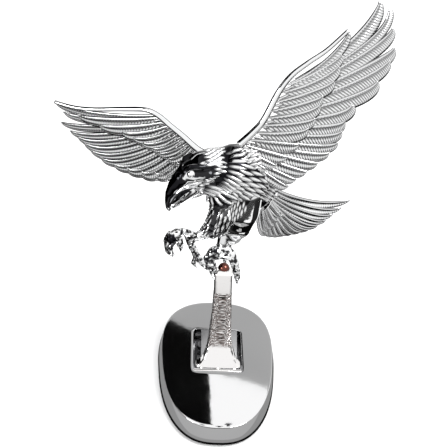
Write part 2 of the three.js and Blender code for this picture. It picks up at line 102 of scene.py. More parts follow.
def link(source, output, target, socket):
    source.id_data.links.new(source.outputs[output], target.inputs[socket])


def new_material(name):
    """A material, its node tree and its surface shader."""
    material = bpy.data.materials.new(name)
    material.use_nodes = True
    return material, material.node_tree, material.node_tree.nodes["Principled BSDF"]


def plain_object(name, bm, material):
    mesh = bpy.data.meshes.new(name)
    bm.to_mesh(mesh)
    bm.free()
    mesh.materials.append(material)
    made = bpy.data.objects.new(name, mesh)
    bpy.context.scene.collection.objects.link(made)
    return made


def two_tone(tree, surface, kind, scale, output, first, second):
    """Colours a surface between two tones by a texture, and gives the texture."""
    where = add_node(tree, "TexCoord")
    pattern = add_node(tree, kind, {"Scale": scale})
    shade = add_node(tree, "Mix", {"A": (*first, 1), "B": (*second, 1)}, data_type="RGBA")
    link(where, "Object", pattern, "Vector")
    link(pattern, output, shade, "Factor")
    link(shade, "Result", surface, "Base Color")
    return pattern


def floor_material():
    material, tree, surface = new_material("studio_floor")
    set_inputs(surface, {"Roughness": 0.9, "Specular IOR Level": 0.1})
    two_tone(tree, surface, "TexNoise", 3, "Fac", (0.93, 0.93, 0.935), (0.96, 0.96, 0.96))
    return material


floor_mesh = bmesh.new()
bmesh.ops.create_grid(floor_mesh, x_segments=1, y_segments=1, size=FLOOR_HALF)
floor = plain_object("studio_floor", floor_mesh, floor_material())
floor.visible_glossy = False


def card_material(name, brightness):
    """A glowing card whose brightness drifts a little across it."""
    material, tree, surface = new_material(name)
    set_inputs(surface, {"Base Color": (0, 0, 0, 1), "Roughness": 1, "Specular IOR Level": 0})
    surface.inputs["Emission Strength"].default_value = brightness
    where = add_node(tree, "TexCoord")
    cloud = add_node(tree, "TexNoise", {"Scale": 1.6})
    drift = {"From Min": 0.3, "From Max": 0.7, "To Min": 0.72, "To Max": 1.2}
    shade = add_node(tree, "MapRange", drift)
    link(where, "Object", cloud, "Vector")
    link(cloud, "Fac", shade, "Value")
    link(shade, "Result", surface, "Emission Color")
    return material


def only_reflected(made):
    made.visible_camera = False
    made.visible_diffuse = False
    made.visible_shadow = False


black_card = card_material("black_card", 0.003)
grey_card = card_material("grey_card", 0.42)
white_card = card_material("white_card", 1.1)


def card(name, material, distance, low_left, low_right, top_right, top_left):
    """A card between four corners, each an azimuth and an elevation in degrees. Azimuth 0
    is behind the object, and positive turns towards +X. Only glossy rays see a card."""
    bm = bmesh.new()
    made = bmesh.ops.create_grid(bm, x_segments=16, y_segments=8, size=1)
    for vert in made["verts"]:
        across = (vert.co.x + 1) / 2
        up = (vert.co.y + 1) / 2
        low = Vector(low_left).lerp(Vector(low_right), across)
        top = Vector(top_left).lerp(Vector(top_right), across)
        azimuth, rise = (math.radians(angle) for angle in low.lerp(top, up))
        vert.co = distance * Vector((
            math.sin(azimuth) * math.cos(rise),
            math.cos(azimuth) * math.cos(rise),
            math.sin(rise),
        ))
    made_card = plain_object(name, bm, material)
    only_reflected(made_card)


card("card_rear_left", black_card, 1.5, (-100, 12), (3.0, 44.2), (5.0, 54), (-100, 62))
card("card_rear_right", grey_card, 1.7, (-12, 30), (32, 30), (32, 50), (-12, 45.5))
card("card_left", black_card, 1.6, (-112, -5), (-95, -14), (-95, 62), (-130, 45))
card("card_rear_low", black_card, 1.55, (-95, -28), (-14, -34), (-12, 22), (-100, 13))
card("card_low_rear", white_card, 1.9, (0, -52), (46, -52), (46, -22), (0, -22))
card("card_low_right", white_card, 1.9, (108, -80), (160, -80), (160, -30), (108, -30))
card("card_low_front", white_card, 1.9, (160, -78), (250, -78), (250, -41), (160, -41))


RING_HALF = Vector((24, 37))  # the foot's half width and length, in millimetres
RING_POWER = 0.8
RING_TAPER = 0.132  # the rings narrow to the front as the foot does
RING_LIFT = 0.0002  # off the floor, in metres


def signed_power(value, power):
    return math.copysign(abs(value) ** power, value)


def floor_card(name, material, inner, outer):
    """A ring on the floor, between two distances in millimetres from the foot's outline."""
    bm = bmesh.new()
    made = bmesh.ops.create_grid(bm, x_segments=64, y_segments=1, size=1)
    for vert in made["verts"]:
        angle = math.pi * vert.co.x
        reach = inner if vert.co.y < 0 else outer
        across = signed_power(math.cos(angle), RING_POWER)
        along = signed_power(math.sin(angle), RING_POWER)
        taper = 1 + RING_TAPER * along
        vert.co = (
            (RING_HALF.x + reach) * MM * across * taper, (RING_HALF.y + reach) * MM * along, RING_LIFT,
        )
    ring = plain_object(name, bm, material)
    only_reflected(ring)


floor_card("card_floor_seam", black_card, -1.5, 0.6)
floor_card("card_floor_near", card_material("dim_card", 0.3), 0.6, 7)
floor_card("card_floor_next", grey_card, 7, 22)
floor_card("card_floor_ring", black_card, 23, 44)

TENT = [  # sine of the elevation, brightness
    (-0.8, 0.01), (-0.55, 0.02), (-0.44, 0.1), (-0.34, 0.85), (0.0, 1.0), (0.2, 1.0), (0.42, 1.05),
]
world = bpy.data.worlds.new("white_tent")
bpy.context.scene.world = world
world.use_nodes = True
tent = world.node_tree
background = tent.nodes["Background"]
where = add_node(tent, "TexCoord")
parts = add_node(tent, "SeparateXYZ")
height = add_node(tent, "MapRange", {"From Min": -1})
ramp = add_node(tent, "ValToRGB")
sight = add_node(tent, "LightPath")
seen = add_node(tent, "Mix", {"B": (1, 1, 1, 1)}, data_type="RGBA")
link(where, "Generated", parts, "Vector")
link(parts, "Z", height, "Value")
link(height, "Result", ramp, "Fac")
link(ramp, "Color", seen, "A")
link(sight, "Is Camera Ray", seen, "Factor")
link(seen, "Result", background, "Color")
stops = ramp.color_ramp.elements
while len(stops) < len(TENT):
    stops.new(0.5)
for stop, (rise, brightness) in zip(stops, TENT):
    stop.position = (rise + 1) / 2
    stop.color = (brightness, brightness, brightness, 1)


LAMP_AIM = Vector((0, 0, 0.08))


def soft_lamp(name, place, size, power):
    lamp = bpy.data.lights.new(name, "AREA")
    lamp.size = size
    lamp.energy = power
    made = bpy.data.objects.new(name, lamp)
    bpy.context.scene.collection.objects.link(made)
    toward = LAMP_AIM - Vector(place)
    aim = toward.to_track_quat("-Z", "Y").to_matrix().to_4x4()
    made.matrix_world = Matrix.Translation(place) @ aim


soft_lamp("lamp_over_right", (0.55, -0.35, 0.9), 0.5, 9)
soft_lamp("lamp_left", (-0.8, -0.5, 0.45), 0.35, 4)
bpy.context.scene.view_settings.view_transform = "Standard"


# ---------------------------------------------------------------- foot cover
# A smooth zinc casting, mirror-polished and chromed, with a rounded top edge and a
# lipped slot that the arm folds through. It drops over the closing plate.
def new_group(name, inputs, outputs):
    """A shader node group; inputs maps a name to (socket type, value)."""
    tree = bpy.data.node_groups.new(name, "ShaderNodeTree")
    for label, (kind, value) in inputs.items():
        socket = tree.interface.new_socket(label, in_out="INPUT", socket_type=kind)
        if value is not None:
            socket.default_value = value
    for label, kind in outputs.items():
        tree.interface.new_socket(label, in_out="OUTPUT", socket_type=kind)
    return tree, tree.nodes.new("NodeGroupInput"), tree.nodes.new("NodeGroupOutput")


def polish_group():
    """Fine haze and wipe marks: roughness that drifts over a plated surface."""
    tree, given, result = new_group(
        "plate_polish",
        {
            "Vector": ("NodeSocketVector", None),
            "Haze Scale": ("NodeSocketFloat", 60.0),
            "Smoothest": ("NodeSocketFloat", 0.03),
            "Roughest": ("NodeSocketFloat", 0.1),
        },
        {"Roughness": "NodeSocketFloat", "Ripple": "NodeSocketFloat"},
    )
    haze = add_node(tree, "TexNoise", {"Detail": 4})
    drift = add_node(tree, "MapRange", {"From Min": 0.35, "From Max": 0.7})
    ripple = add_node(tree, "TexNoise", {"Scale": 220})
    link(given, "Vector", haze, "Vector")
    link(given, "Haze Scale", haze, "Scale")
    link(haze, "Fac", drift, "Value")
    link(given, "Smoothest", drift, "To Min")
    link(given, "Roughest", drift, "To Max")
    link(drift, "Result", result, "Roughness")
    link(given, "Vector", ripple, "Vector")
    link(ripple, "Fac", result, "Ripple")
    return tree


def painted_shade_group():
    """Painted shade: a dark colour laid where the painted shade layer asks for it, thinned a little in
    random patches.
    """
    tree, given, result = new_group(
        "painted_shade_mix",
        {
            "Vector": ("NodeSocketVector", None),
            "Painted Shade": ("NodeSocketFloat", 0.0),
            "Amount": ("NodeSocketFloat", 0.8),
            "Clean": ("NodeSocketColor", (0.9, 0.9, 0.9, 1)),
            "Shade Colour": ("NodeSocketColor", (0.05, 0.05, 0.05, 1)),
        },
        {"Color": "NodeSocketColor"},
    )
    patchy = add_node(tree, "TexNoise", {"Scale": 90, "Detail": 3})
    patch_thinning = add_node(tree, "MapRange", {"From Min": 0.25, "From Max": 0.6, "To Min": 0.96})
    depth = add_node(tree, "Math", operation="MULTIPLY")
    share = add_node(tree, "Math", operation="MULTIPLY", use_clamp=True)
    blend = add_node(tree, "Mix", data_type="RGBA")
    link(given, "Vector", patchy, "Vector")
    link(patchy, "Fac", patch_thinning, "Value")
    link(given, "Painted Shade", depth, 0)
    link(patch_thinning, "Result", depth, 1)
    link(depth, "Value", share, 0)
    link(given, "Amount", share, 1)
    link(share, "Value", blend, "Factor")
    link(given, "Clean", blend, "A")
    link(given, "Shade Colour", blend, "B")
    link(blend, "Result", result, "Color")
    return tree


PLATE_POLISH = polish_group()
PAINTED_SHADE_GROUP = painted_shade_group()


def metal(name, clean, shade_tone, smoothest, roughest, haze_scale=60.0, amount=0.85, ripple=0.02):
    """A bare or plated metal: its own colour, painted shade where the painted shade layer asks for it, and
    drifting polish.
    """
    material, tree, surface = new_material(name)
    surface.inputs["Metallic"].default_value = 1
    where = add_node(tree, "TexCoord")
    painted_shade = add_node(tree, "Attribute", attribute_name="painted_shade")
    polish = add_node(
        tree, "Group", {"Haze Scale": haze_scale, "Smoothest": smoothest, "Roughest": roughest},
        node_tree=PLATE_POLISH,
    )
    shade_mix = add_node(
        tree, "Group", {"Amount": amount, "Clean": (*clean, 1), "Shade Colour": (*shade_tone, 1)},
        node_tree=PAINTED_SHADE_GROUP,
    )
    bump = add_node(tree, "Bump", {"Strength": ripple, "Distance": 0.001})
    link(where, "Object", polish, "Vector")
    link(where, "Object", shade_mix, "Vector")
    link(painted_shade, "Fac", shade_mix, "Painted Shade")
    link(polish, "Roughness", surface, "Roughness")
    link(polish, "Ripple", bump, "Height")
    link(bump, "Normal", surface, "Normal")
    link(shade_mix, "Color", surface, "Base Color")
    return material


def skin(bm, across, along, place):
    """Lays a grid over a form: place(u, v) gives each point, with u and v from 0 to 1."""
    made = bmesh.ops.create_grid(bm, x_segments=across, y_segments=along, size=1)
    for vert in made["verts"]:
        vert.co = place((vert.co.x + 1) / 2, (vert.co.y + 1) / 2)
    return made["verts"]


def painted_shade_layer(bm):
    """The layer that says where shade is painted, from 0 to 1."""
    return bm.verts.layers.float.new("painted_shade")


def close_up(bm):
    """Welds the seam and the poles of a skinned form, and turns its faces out."""
    bmesh.ops.remove_doubles(bm, verts=bm.verts, dist=1e-4)
    bmesh.ops.dissolve_degenerate(bm, edges=bm.edges, dist=1e-5)
    bmesh.ops.recalc_face_normals(bm, faces=bm.faces)


def finished(name, bm, material, body, slot, *replaced):
    """Makes a mesh drawn in millimetres a smooth piece that rides on a CAD body."""
    bmesh.ops.scale(bm, vec=(MM, MM, MM), verts=bm.verts)
    made = plain_object(name, bm, material)
    made.data.shade_smooth()
    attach(made, body)
    made.visible_glossy = body == "foot"  # the figure doesn't show up in the foot
    if replaced:
        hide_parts(*replaced)
    return made


def thicken(made, wall):
    """Gives a skin its wall, on the inner side."""
    solid = made.modifiers.new("wall", "SOLIDIFY")
    solid.thickness = wall * MM
    solid.offset = -1


def box_mm(node):
    low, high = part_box(node)
    return Vector(low) / MM, Vector(high) / MM


EGG_POWER = 2.55
EGG_TAPER = 0.132
DRAFT = 0.93  # the top's size as a share of the bottom's
EDGE_RADIUS = 0.18
SLOT_LOW = Vector((-9.9, -6.4))
SLOT_HIGH = Vector((9.9, 17.4))
SLOT_POWER = 14
SLOT_RIM = 0.3
COVER_WALL = 1.1

cover_low, cover_high = box_mm("base_cover")
FOOT_TOP = cover_high.z
FOOT_HALF = Vector((22.25, 34.2))


def egg_point(angle, inset, z):
    half = FOOT_HALF - Vector((inset, inset))
    y = half.y * signed_power(math.sin(angle), 2 / EGG_POWER)
    x = half.x * signed_power(math.cos(angle), 2 / EGG_POWER) * (1 + EGG_TAPER * y / half.y)
    spread = 1 / DRAFT - (1 / DRAFT - 1) * z / FOOT_TOP
    return Vector((x * spread, y * spread, z))


def slot_point(angle, grow, z):
    middle = (SLOT_LOW + SLOT_HIGH) / 2
    half = (SLOT_HIGH - SLOT_LOW) / 2 + Vector((grow, grow))
    return Vector((
        middle.x + half.x * signed_power(math.cos(angle), 2 / SLOT_POWER),
        middle.y + half.y * signed_power(math.sin(angle), 2 / SLOT_POWER),
        z,
    ))


def quarter_arc(steps):
    return [math.pi / 2 * i / steps for i in range(steps + 1)]


cover_wall = [("egg", 0.5, cover_low.z), ("egg", 0.0, cover_low.z + 0.4), ("egg", 0.0, 4.0)]
cover_wall += [("egg", 0.0, FOOT_TOP - EDGE_RADIUS - 0.3)]
cover_edge = [
    ("egg", EDGE_RADIUS * (1 - math.cos(a)), FOOT_TOP - EDGE_RADIUS * (1 - math.sin(a)))
    for a in quarter_arc(6)
]
cover_top = [("mix", share, FOOT_TOP) for share in (0.05, 0.12, 0.3, 0.5, 0.7, 0.88, 0.95)]
cover_rim = [
    ("slot", SLOT_RIM * (1 - math.sin(a)), FOOT_TOP - SLOT_RIM * (1 - math.cos(a)))
    for a in quarter_arc(4)
]
cover_lip = [("slot", 0.0, FOOT_TOP - drop) for drop in (SLOT_RIM + 0.12, 2.0, 4.2)]
cover_rings = cover_wall + cover_edge + cover_top + cover_rim + cover_lip


def smooth_step(low, high, value):
    share = min(max((value - low) / (high - low), 0), 1)
    return share * share * (3 - 2 * share)


def cover_place(u, v):
    angle = 2 * math.pi * (u % 1)
    kind, size, z = cover_rings[round(v * (len(cover_rings) - 1))]
    if kind == "egg":
        return egg_point(angle, size, z)
    if kind == "slot":
        point = slot_point(angle, size, z)
        if z > FOOT_TOP - SLOT_RIM * 1.5:  # the rear edge is sharper than the other three
            sharper = 0.9 * smooth_step(SLOT_HIGH.y - 1.6, SLOT_HIGH.y - 0.4, point.y)
            point.z = FOOT_TOP - (FOOT_TOP - z) * (1 - sharper)
        return point
    outer = egg_point(angle, EDGE_RADIUS, z)
    inner = slot_point(angle, SLOT_RIM, z)
    return outer.lerp(inner, size)


mirror_chrome = metal("mirror_chrome", (0.9, 0.9, 0.905), (0.1, 0.1, 0.1), 0.02, 0.05, ripple=0.004)
cover = bmesh.new()
skin(cover, 192, len(cover_rings) - 1, cover_place)
close_up(cover)
painted_shade = painted_shade_layer(cover)
# The slot's two side walls are painted dark, as shade; the rear wall is left clean.
for vert in cover.verts:
    on_side = abs(abs(vert.co.x) - SLOT_HIGH.x) < 0.3 and SLOT_LOW.y < vert.co.y < SLOT_HIGH.y
    if on_side and 4 < vert.co.z < FOOT_TOP - 0.5:
        vert[painted_shade] = 1
base_cover = finished("foot_cover", cover, mirror_chrome, "foot", "bright_chrome", "base_cover")
thicken(base_cover, COVER_WALL)


# ---------------------------------------------------------------- hidden hinge
# Pressed steel plate and bracket, zinc-plated, with screws, a steel pin and its clips;
# black closed-cell foam sticks it down. Two torsion springs are wound on the pin.
def foam_material():
    material, tree, surface = new_material("black_foam")
    surface.inputs["Roughness"].default_value = 0.95
    cells = two_tone(
        tree, surface, "TexVoronoi", 1800, "Distance", (0.006, 0.006, 0.006), (0.03, 0.03, 0.032),
    )
    bump = add_node(tree, "Bump", {"Strength": 0.5, "Distance": 0.0004})
    link(cells, "Distance", bump, "Height")
    link(bump, "Normal", surface, "Normal")
    return material


def repaint(node, material):
    mesh = nodes[node].data
    mesh.materials.clear()
    mesh.materials.append(material)


zinc = metal("zinc_plated_steel", (0.3, 0.3, 0.31), (0.1, 0.1, 0.09), 0.25, 0.45, 140.0, ripple=0.15)
black_zinc = metal("black_zinc_steel", (0.07, 0.07, 0.075), (0.03, 0.03, 0.03), 0.2, 0.35, 140.0, ripple=0.1)
spring_steel = metal("spring_steel", (0.32, 0.32, 0.33), (0.08, 0.07, 0.06), 0.22, 0.4, 200.0, ripple=0.1)
repaint("foam_pad", foam_material())
for node in nodes:
    if node == "bottom_plate" or "screw" in node:
        repaint(node, zinc)
    if node == "hinge_bracket":
        repaint(node, black_zinc)
    if node.startswith(("hinge_pin", "pin_clip")):
        repaint(node, spring_steel)


def bevelled_box(bm, low, high, radius, segments):
    """A box between two corners with rounded edges."""
    place = Matrix.Translation((low + high) / 2) @ Matrix.Diagonal((*(high - low), 1))
    made = bmesh.ops.create_cube(bm, size=1, matrix=place)
    edges = {edge for vert in made["verts"] for edge in vert.link_edges}
    bmesh.ops.bevel(
        bm, geom=list(edges), offset=radius, offset_type="OFFSET", segments=segments, profile=0.5,
        affect="EDGES", material=-1,
    )


TRAY_LOW = Vector((-6.6, 4.2, 5.2))
TRAY_HIGH = Vector((8.5, 17.2, 5.7))
TRAY_RISE = 3.1  # how far its rear end climbs towards the cover's top
tray = bmesh.new()
bevelled_box(tray, TRAY_LOW, TRAY_HIGH, 0.2, 2)
for vert in tray.verts:
    vert.co.z += TRAY_RISE * (vert.co.y - TRAY_LOW.y) / (TRAY_HIGH.y - TRAY_LOW.y)
satin_chrome = metal("satin_chrome", (0.42, 0.42, 0.425), (0.1, 0.1, 0.1), 0.3, 0.42, 90.0, ripple=0.02)
finished("slot_tray", tray, satin_chrome, "foot", "bright_chrome")

hinge = Vector(frame["joints"][0]["pos_m"]) / MM
WIRE_RADIUS = 0.3
COIL_RADIUS = 1.75
COIL_GAP = 2.1  # from the middle of one wire to the next, in wire radii
COIL_TURNS = 4.25
LEG_OUT = 2.5  # how far a leg runs back from the pin before it bends up
LEG_BEND = 3.4  # how far below its top it bends
COIL_STEPS = 24
WIRE_SIDES = 10


def coil_point(x, angle):
    turn = Vector((0, math.sin(angle), -math.cos(angle))) * COIL_RADIUS
    return Vector((x, hinge.y, hinge.z)) + turn


def wound_wire(node, side):
    """A torsion spring's leg on the plate and its close turns about the pin, then the leg
    up the back of the arm, which turns with the arm."""
    low, high = box_mm(node)
    outer = high.x if side > 0 else low.x
    outer -= side * WIRE_RADIUS
    inner = (low.x if side > 0 else high.x) + side * WIRE_RADIUS
    course = [Vector((outer, low.y + WIRE_RADIUS, low.z + WIRE_RADIUS))]
    steps = round(COIL_TURNS * COIL_STEPS)
    for i in range(steps + 1):
        x = outer + (inner - outer) * i / steps
        course.append(coil_point(x, 2 * math.pi * i / COIL_STEPS))
    leg_x = inner - side * COIL_GAP * WIRE_RADIUS
    leg = [coil_point(leg_x, angle) for angle in (0.5, 0.9, 1.25, math.pi / 2)]
    leg.append(Vector((leg_x, hinge.y + LEG_OUT, high.z - LEG_BEND)))
    leg.append(Vector((leg_x, high.y - WIRE_RADIUS, high.z)))
    return course, leg


def tube(bm, course, radius_at, sides):
    """A round bar along a row of points; radius_at(share) gives its half thickness."""
    last = len(course) - 1
    frames = []
    across = Vector((1, 0, 0.01))
    for i, point in enumerate(course):
        ahead = (course[min(i + 1, last)] - course[max(i - 1, 0)]).normalized()
        across = (across - ahead * across.dot(ahead)).normalized()
        frames.append((point, across.copy(), ahead.cross(across)))

    def place(u, v):
        step = round(v * (last + 2)) - 1
        point, side_way, up_way = frames[min(max(step, 0), last)]
        if step < 0 or step > last:
            return point.copy()
        angle = 2 * math.pi * u
        reach = radius_at(step / last)
        return point + (side_way * math.cos(angle) + up_way * math.sin(angle)) * reach

    return skin(bm, sides, last + 2, place)


for side, name in ((-1, "left"), (1, "right")):
    node = f"torsion_spring_{name}"
    turns, arm_leg = wound_wire(node, side)
    coil = bmesh.new()
    tube(coil, turns, lambda share: WIRE_RADIUS, WIRE_SIDES)
    close_up(coil)
    finished(f"spring_coil_{name}", coil, spring_steel, "foot", "spring_steel", node)
    leg = bmesh.new()
    tube(leg, arm_leg, lambda share: WIRE_RADIUS, WIRE_SIDES)
    close_up(leg)
    finished(f"spring_leg_{name}", leg, spring_steel, "figure", "spring_steel")


# ---------------------------------------------------------------- stand arm
# A cast bar that flares like a trumpet to fill the slot, smooth at both ends and
# hammered in its middle. Its barrel turns on the hinge pin.
ARM_STATIONS = [  # height, half width, middle
    (8.9, 9.5, 0.0), (9.4, 9.2, 0.1), (10.2, 8.3, 0.3), (11.4, 7.3, 0.4), (13.5, 6.3, 0.4),
    (18.0, 5.15, 0.3), (23.0, 4.45, 0.1), (28.0, 4.1, 0.0), (33.0, 3.8, 0.0),
    (43.0, 3.45, -0.2), (49.0, 3.4, -0.4), (54.0, 3.4, -0.4),
]
ARM_HALF_DEPTH = 2.5
ARM_LEAN = 7.6
ARM_SQUARE = 5
ARM_TOP = box_mm("stand_arm")[1].z
BARREL_SPANS = ((-7.7, -5.6), (-1.4, 1.4), (5.6, 7.7))
BARREL_RADIUS = 2.15
LIP_LOW = Vector((-9.5, -6.2, 8.3))
LIP_HIGH = Vector((9.5, -4.9, 9.0))
HAMMERED = (19.0, 44.0)
HAMMER_FADE = 0.8
HAMMER_DEPTH = 0.13
HAMMER_SIZE = 0.36


def station_at(z):
    """The arm's half width and middle at a height, on straight lines between stations."""
    for (z0, half0, mid0), (z1, half1, mid1) in zip(ARM_STATIONS, ARM_STATIONS[1:]):
        if z <= z1:
            share = (z - z0) / (z1 - z0)
            return half0 + (half1 - half0) * share, mid0 + (mid1 - mid0) * share
    return ARM_STATIONS[-1][1:]


def arm_middle_y(z):
    rise = max(z - hinge.z, 0) / (ARM_TOP - hinge.z)
    return hinge.y - 0.6 + ARM_LEAN * rise ** 1.15


def arm_place(u, v):
    z = ARM_STATIONS[0][0] + (ARM_TOP - ARM_STATIONS[0][0]) * v
    half, middle = station_at(z)
    ends = max(1 - v * 60, 0, 1 - (1 - v) * 45)
    shrink = 0 if v in (0, 1) else 1 - 0.3 * ends
    angle = 2 * math.pi * u
    flat = Vector((
        half * signed_power(math.cos(angle), 2 / ARM_SQUARE),
        ARM_HALF_DEPTH * signed_power(math.sin(angle), 2 / ARM_SQUARE),
    )) * shrink
    place = Vector((middle + flat.x, arm_middle_y(z) + flat.y, z))
    rough = smooth_step(HAMMERED[0], HAMMERED[0] + 2.5, z)
    rough *= 1 - smooth_step(HAMMERED[1] - HAMMER_FADE, HAMMERED[1], z)
    dent = noise.noise(place / HAMMER_SIZE) + 0.5 * noise.noise(place * 2.3 / HAMMER_SIZE)
    outward = Vector((flat.x / half, flat.y / ARM_HALF_DEPTH, 0))
    return place + outward * dent * HAMMER_DEPTH * rough


arm_chrome = metal("arm_chrome", (0.97, 0.955, 0.945), (0.1, 0.055, 0.04), 0.03, 0.08, ripple=0.01)
arm = bmesh.new()
skin(arm, 128, 290, arm_place)
close_up(arm)
painted_shade = painted_shade_layer(arm)
# The bottoms of the dents in the hammered zone are painted dark brown, as shade.
for vert in arm.verts:
    in_zone = smooth_step(HAMMERED[0], HAMMERED[0] + 2, vert.co.z)
    in_zone *= 1 - smooth_step(HAMMERED[1] - HAMMER_FADE, HAMMERED[1], vert.co.z)
    dent = noise.noise(vert.co / HAMMER_SIZE)
    vert[painted_shade] = in_zone * smooth_step(0.3, -0.1, dent)


def barrel(bm, low_x, high_x, radius):
    turned = Matrix.Translation(((low_x + high_x) / 2, hinge.y, hinge.z))
    turned @= Matrix.Rotation(math.pi / 2, 4, "Y")
    bmesh.ops.create_cone(
        bm, cap_ends=True, segments=32, radius1=radius, radius2=radius,
        depth=high_x - low_x, matrix=turned,
    )


for low_x, high_x in BARREL_SPANS:
    barrel(arm, low_x, high_x, BARREL_RADIUS)
bevelled_box(arm, LIP_LOW, LIP_HIGH, 0.2, 2)
finished("folding_arm", arm, arm_chrome, "figure", "arm_chrome", "stand_arm")


# ---------------------------------------------------------------- rivet
# A domed rivet, brown-red where the copper under the plate shows, heads the arm and
# holds the talons down on it.
rivet_low, rivet_high = box_mm("arm_rivet")
rivet_middle = (rivet_low + rivet_high) / 2
RIVET_RADIUS = 2.2
RIVET_DOME = 2.4


def rivet_place(u, v):
    angle = 2 * math.pi * u
    rise = math.pi / 2 * v
    reach = RIVET_RADIUS * math.cos(rise) if v > 0 else 0
    return Vector((
        rivet_middle.x + reach * math.cos(angle),
        rivet_middle.y + reach * math.sin(angle),
        rivet_high.z - RIVET_DOME + RIVET_DOME * math.sin(rise),
    ))


copper = metal("copper_flash", (0.15, 0.058, 0.045), (0.1, 0.04, 0.03), 0.08, 0.25, 120.0)
rivet = bmesh.new()
skin(rivet, 40, 16, rivet_place)
close_up(rivet)
finished("rivet_dome", rivet, copper, "figure", "copper_rivet", "arm_rivet")


# ---------------------------------------------------------------- eagle body
# Breast, back, neck and head are one bright-plated casting, with raised feathers on the
# neck and shoulders and a smooth head under a heavy brow.
def limb(bm, start, start_radius, end, end_radius):
    """A tapered bar with a ball at each end, ready to be fused to its neighbours."""
    start = Vector(start)
    end = Vector(end)
    lie = (end - start).to_track_quat("Z", "Y").to_matrix().to_4x4()
    bmesh.ops.create_cone(
        bm, cap_ends=True, segments=48, radius1=start_radius, radius2=end_radius,
        depth=(end - start).length, matrix=Matrix.Translation((start + end) / 2) @ lie,
    )
    for middle, radius in ((start, start_radius), (end, end_radius)):
        bmesh.ops.create_icosphere(
            bm, subdivisions=4 if radius > 3 else 3, radius=radius, matrix=Matrix.Translation(middle),
        )


def chain(bm, stops):
    """Limbs through a row of (point, radius) stops."""
    for (start, start_radius), (end, end_radius) in zip(stops, stops[1:]):
        limb(bm, start, start_radius, end, end_radius)


def egg_form(bm, middle, radii, turn_y=0.0):
    place = Matrix.Translation(middle) @ Matrix.Rotation(turn_y, 4, "Y")
    place @= Matrix.Diagonal((*radii, 1))
    bmesh.ops.create_icosphere(bm, subdivisions=4, radius=1, matrix=place)


def fused(bm, voxel, passes):
    """Fuses overlapping closed forms to one even skin and softens its creases."""
    rough = plain_object("rough", bm, mirror_chrome)
    remesh = rough.modifiers.new("fuse", "REMESH")
    remesh.mode = "VOXEL"
    remesh.voxel_size = voxel
    graph = bpy.context.evaluated_depsgraph_get()
    made = bpy.data.meshes.new_from_object(rough.evaluated_get(graph))
    whole = bmesh.new()
    whole.from_mesh(made)
    bpy.data.objects.remove(rough)
    bpy.data.meshes.remove(made)
    for _ in range(passes):
        bmesh.ops.smooth_vert(
            whole, verts=whole.verts, factor=0.5, use_axis_x=True, use_axis_y=True, use_axis_z=True,
        )
    whole.normal_update()
    return whole


def gap_to(point, start, end):
    """How far a point is from the line between two others."""
    along = end - start
    share = min(max((point - start).dot(along) / along.length_squared, 0), 1)
    return (point - start - along * share).length


def gap_to_course(point, course):
    return min(gap_to(point, Vector(start), Vector(end)) for start, end in zip(course, course[1:]))


def carve(bm, layer, course, width, depth):
    """Presses a soft groove of a width and depth along a row of points, and paints shade into it."""
    for vert in bm.verts:
        gap = gap_to_course(vert.co, course)
        if gap < width * 2.2:
            press = math.exp(-((gap / width) ** 2))
            vert.co -= vert.normal * depth * press
            vert[layer] = max(vert[layer], press)


def paint_shade_and_reflection(bm, layer, course, width):
    """Paints shade and dark reflection along a row of points, without pressing the skin in."""
    for vert in bm.verts:
        if gap_to_course(vert.co, course) < width:
            vert[layer] = 1


def far_side(point):
    """The same spot on the other side of the head, which faces a little to the front."""
    across = Vector((0.36, -0.93, 0)).normalized()
    offset = Vector(point) - Vector((-13, 5.2, 0))  # the middle of the head
    offset.z = 0
    return Vector(point) - across * 2 * offset.dot(across)


# Its near-black shade colour is the figure's painted shade and painted dark reflection.
cast_chrome = metal("cast_chrome", (0.9, 0.905, 0.91), (0.006, 0.006, 0.008), 0.03, 0.08, 90.0, amount=1.0)
body = bmesh.new()
egg_form(body, (2.5, 12, 88), (11, 8.6, 11.5), 0.35)
egg_form(body, (-2.5, 9.8, 85), (6, 7, 8.5), 0.2)
egg_form(body, (10, 15, 81.5), (6, 6, 7.5), 0.4)
chain(body, [  # neck and crown
    ((0, 10.5, 93), 8.6), ((-7, 7.8, 95), 6.5), ((-10.5, 6, 95.4), 6.1), ((-14.4, 4.7, 94.2), 4.9),
])
chain(body, [((-10.5, 5, 92), 4.4), ((-4, 9, 88), 5.5)])
chain(body, [  # upper beak
    ((-14.4, 4.7, 94.2), 4.9), ((-17.4, 3.6, 92.2), 3.6), ((-19.6, 2.9, 89.8), 2.8),
    ((-21.1, 2.4, 87.0), 2.1), ((-21.9, 2.2, 84.0), 1.4), ((-22.1, 2.0, 81.4), 0.85),
    ((-21.4, 1.9, 79.2), 0.3),
])
chain(body, [  # lower beak, hanging open
    ((-11.5, 5.2, 88.4), 3.1), ((-15.0, 4.2, 85.4), 1.9), ((-17.8, 3.4, 82.9), 1.3),
    ((-20.6, 2.7, 80.4), 0.5),
])
chain(body, [((-15.5, 3.7, 87.0), 1.3), ((-18.4, 3.1, 84.9), 1.2), ((-20.8, 2.6, 82.2), 0.7)])
chain(body, [  # the floor of the mouth, between the two beaks
    ((-14.5, 3.8, 88.4), 1.4), ((-18.0, 3.2, 86.6), 1.3), ((-20.8, 2.6, 84.6), 1.0),
    ((-21.4, 2.4, 82.2), 0.7),
])
TOMIUM = [(-12.6, 1.6, 90.8), (-15.7, 1.5, 90.0), (-18.8, 1.3, 89.2), (-21.4, 1.3, 88.4)]
BROW = [(-16.6, 1.9, 97.4), (-14.8, 1.3, 98.6), (-12.0, 1.1, 98.8), (-8.6, 1.6, 98.4)]
EYE = Vector((-14.7, 0.9, 96.0))
SOCKET = [(-13.0, 0.4, 96.6), (-10.5, 0.2, 97.0), (-7.6, 1.0, 97.6)]
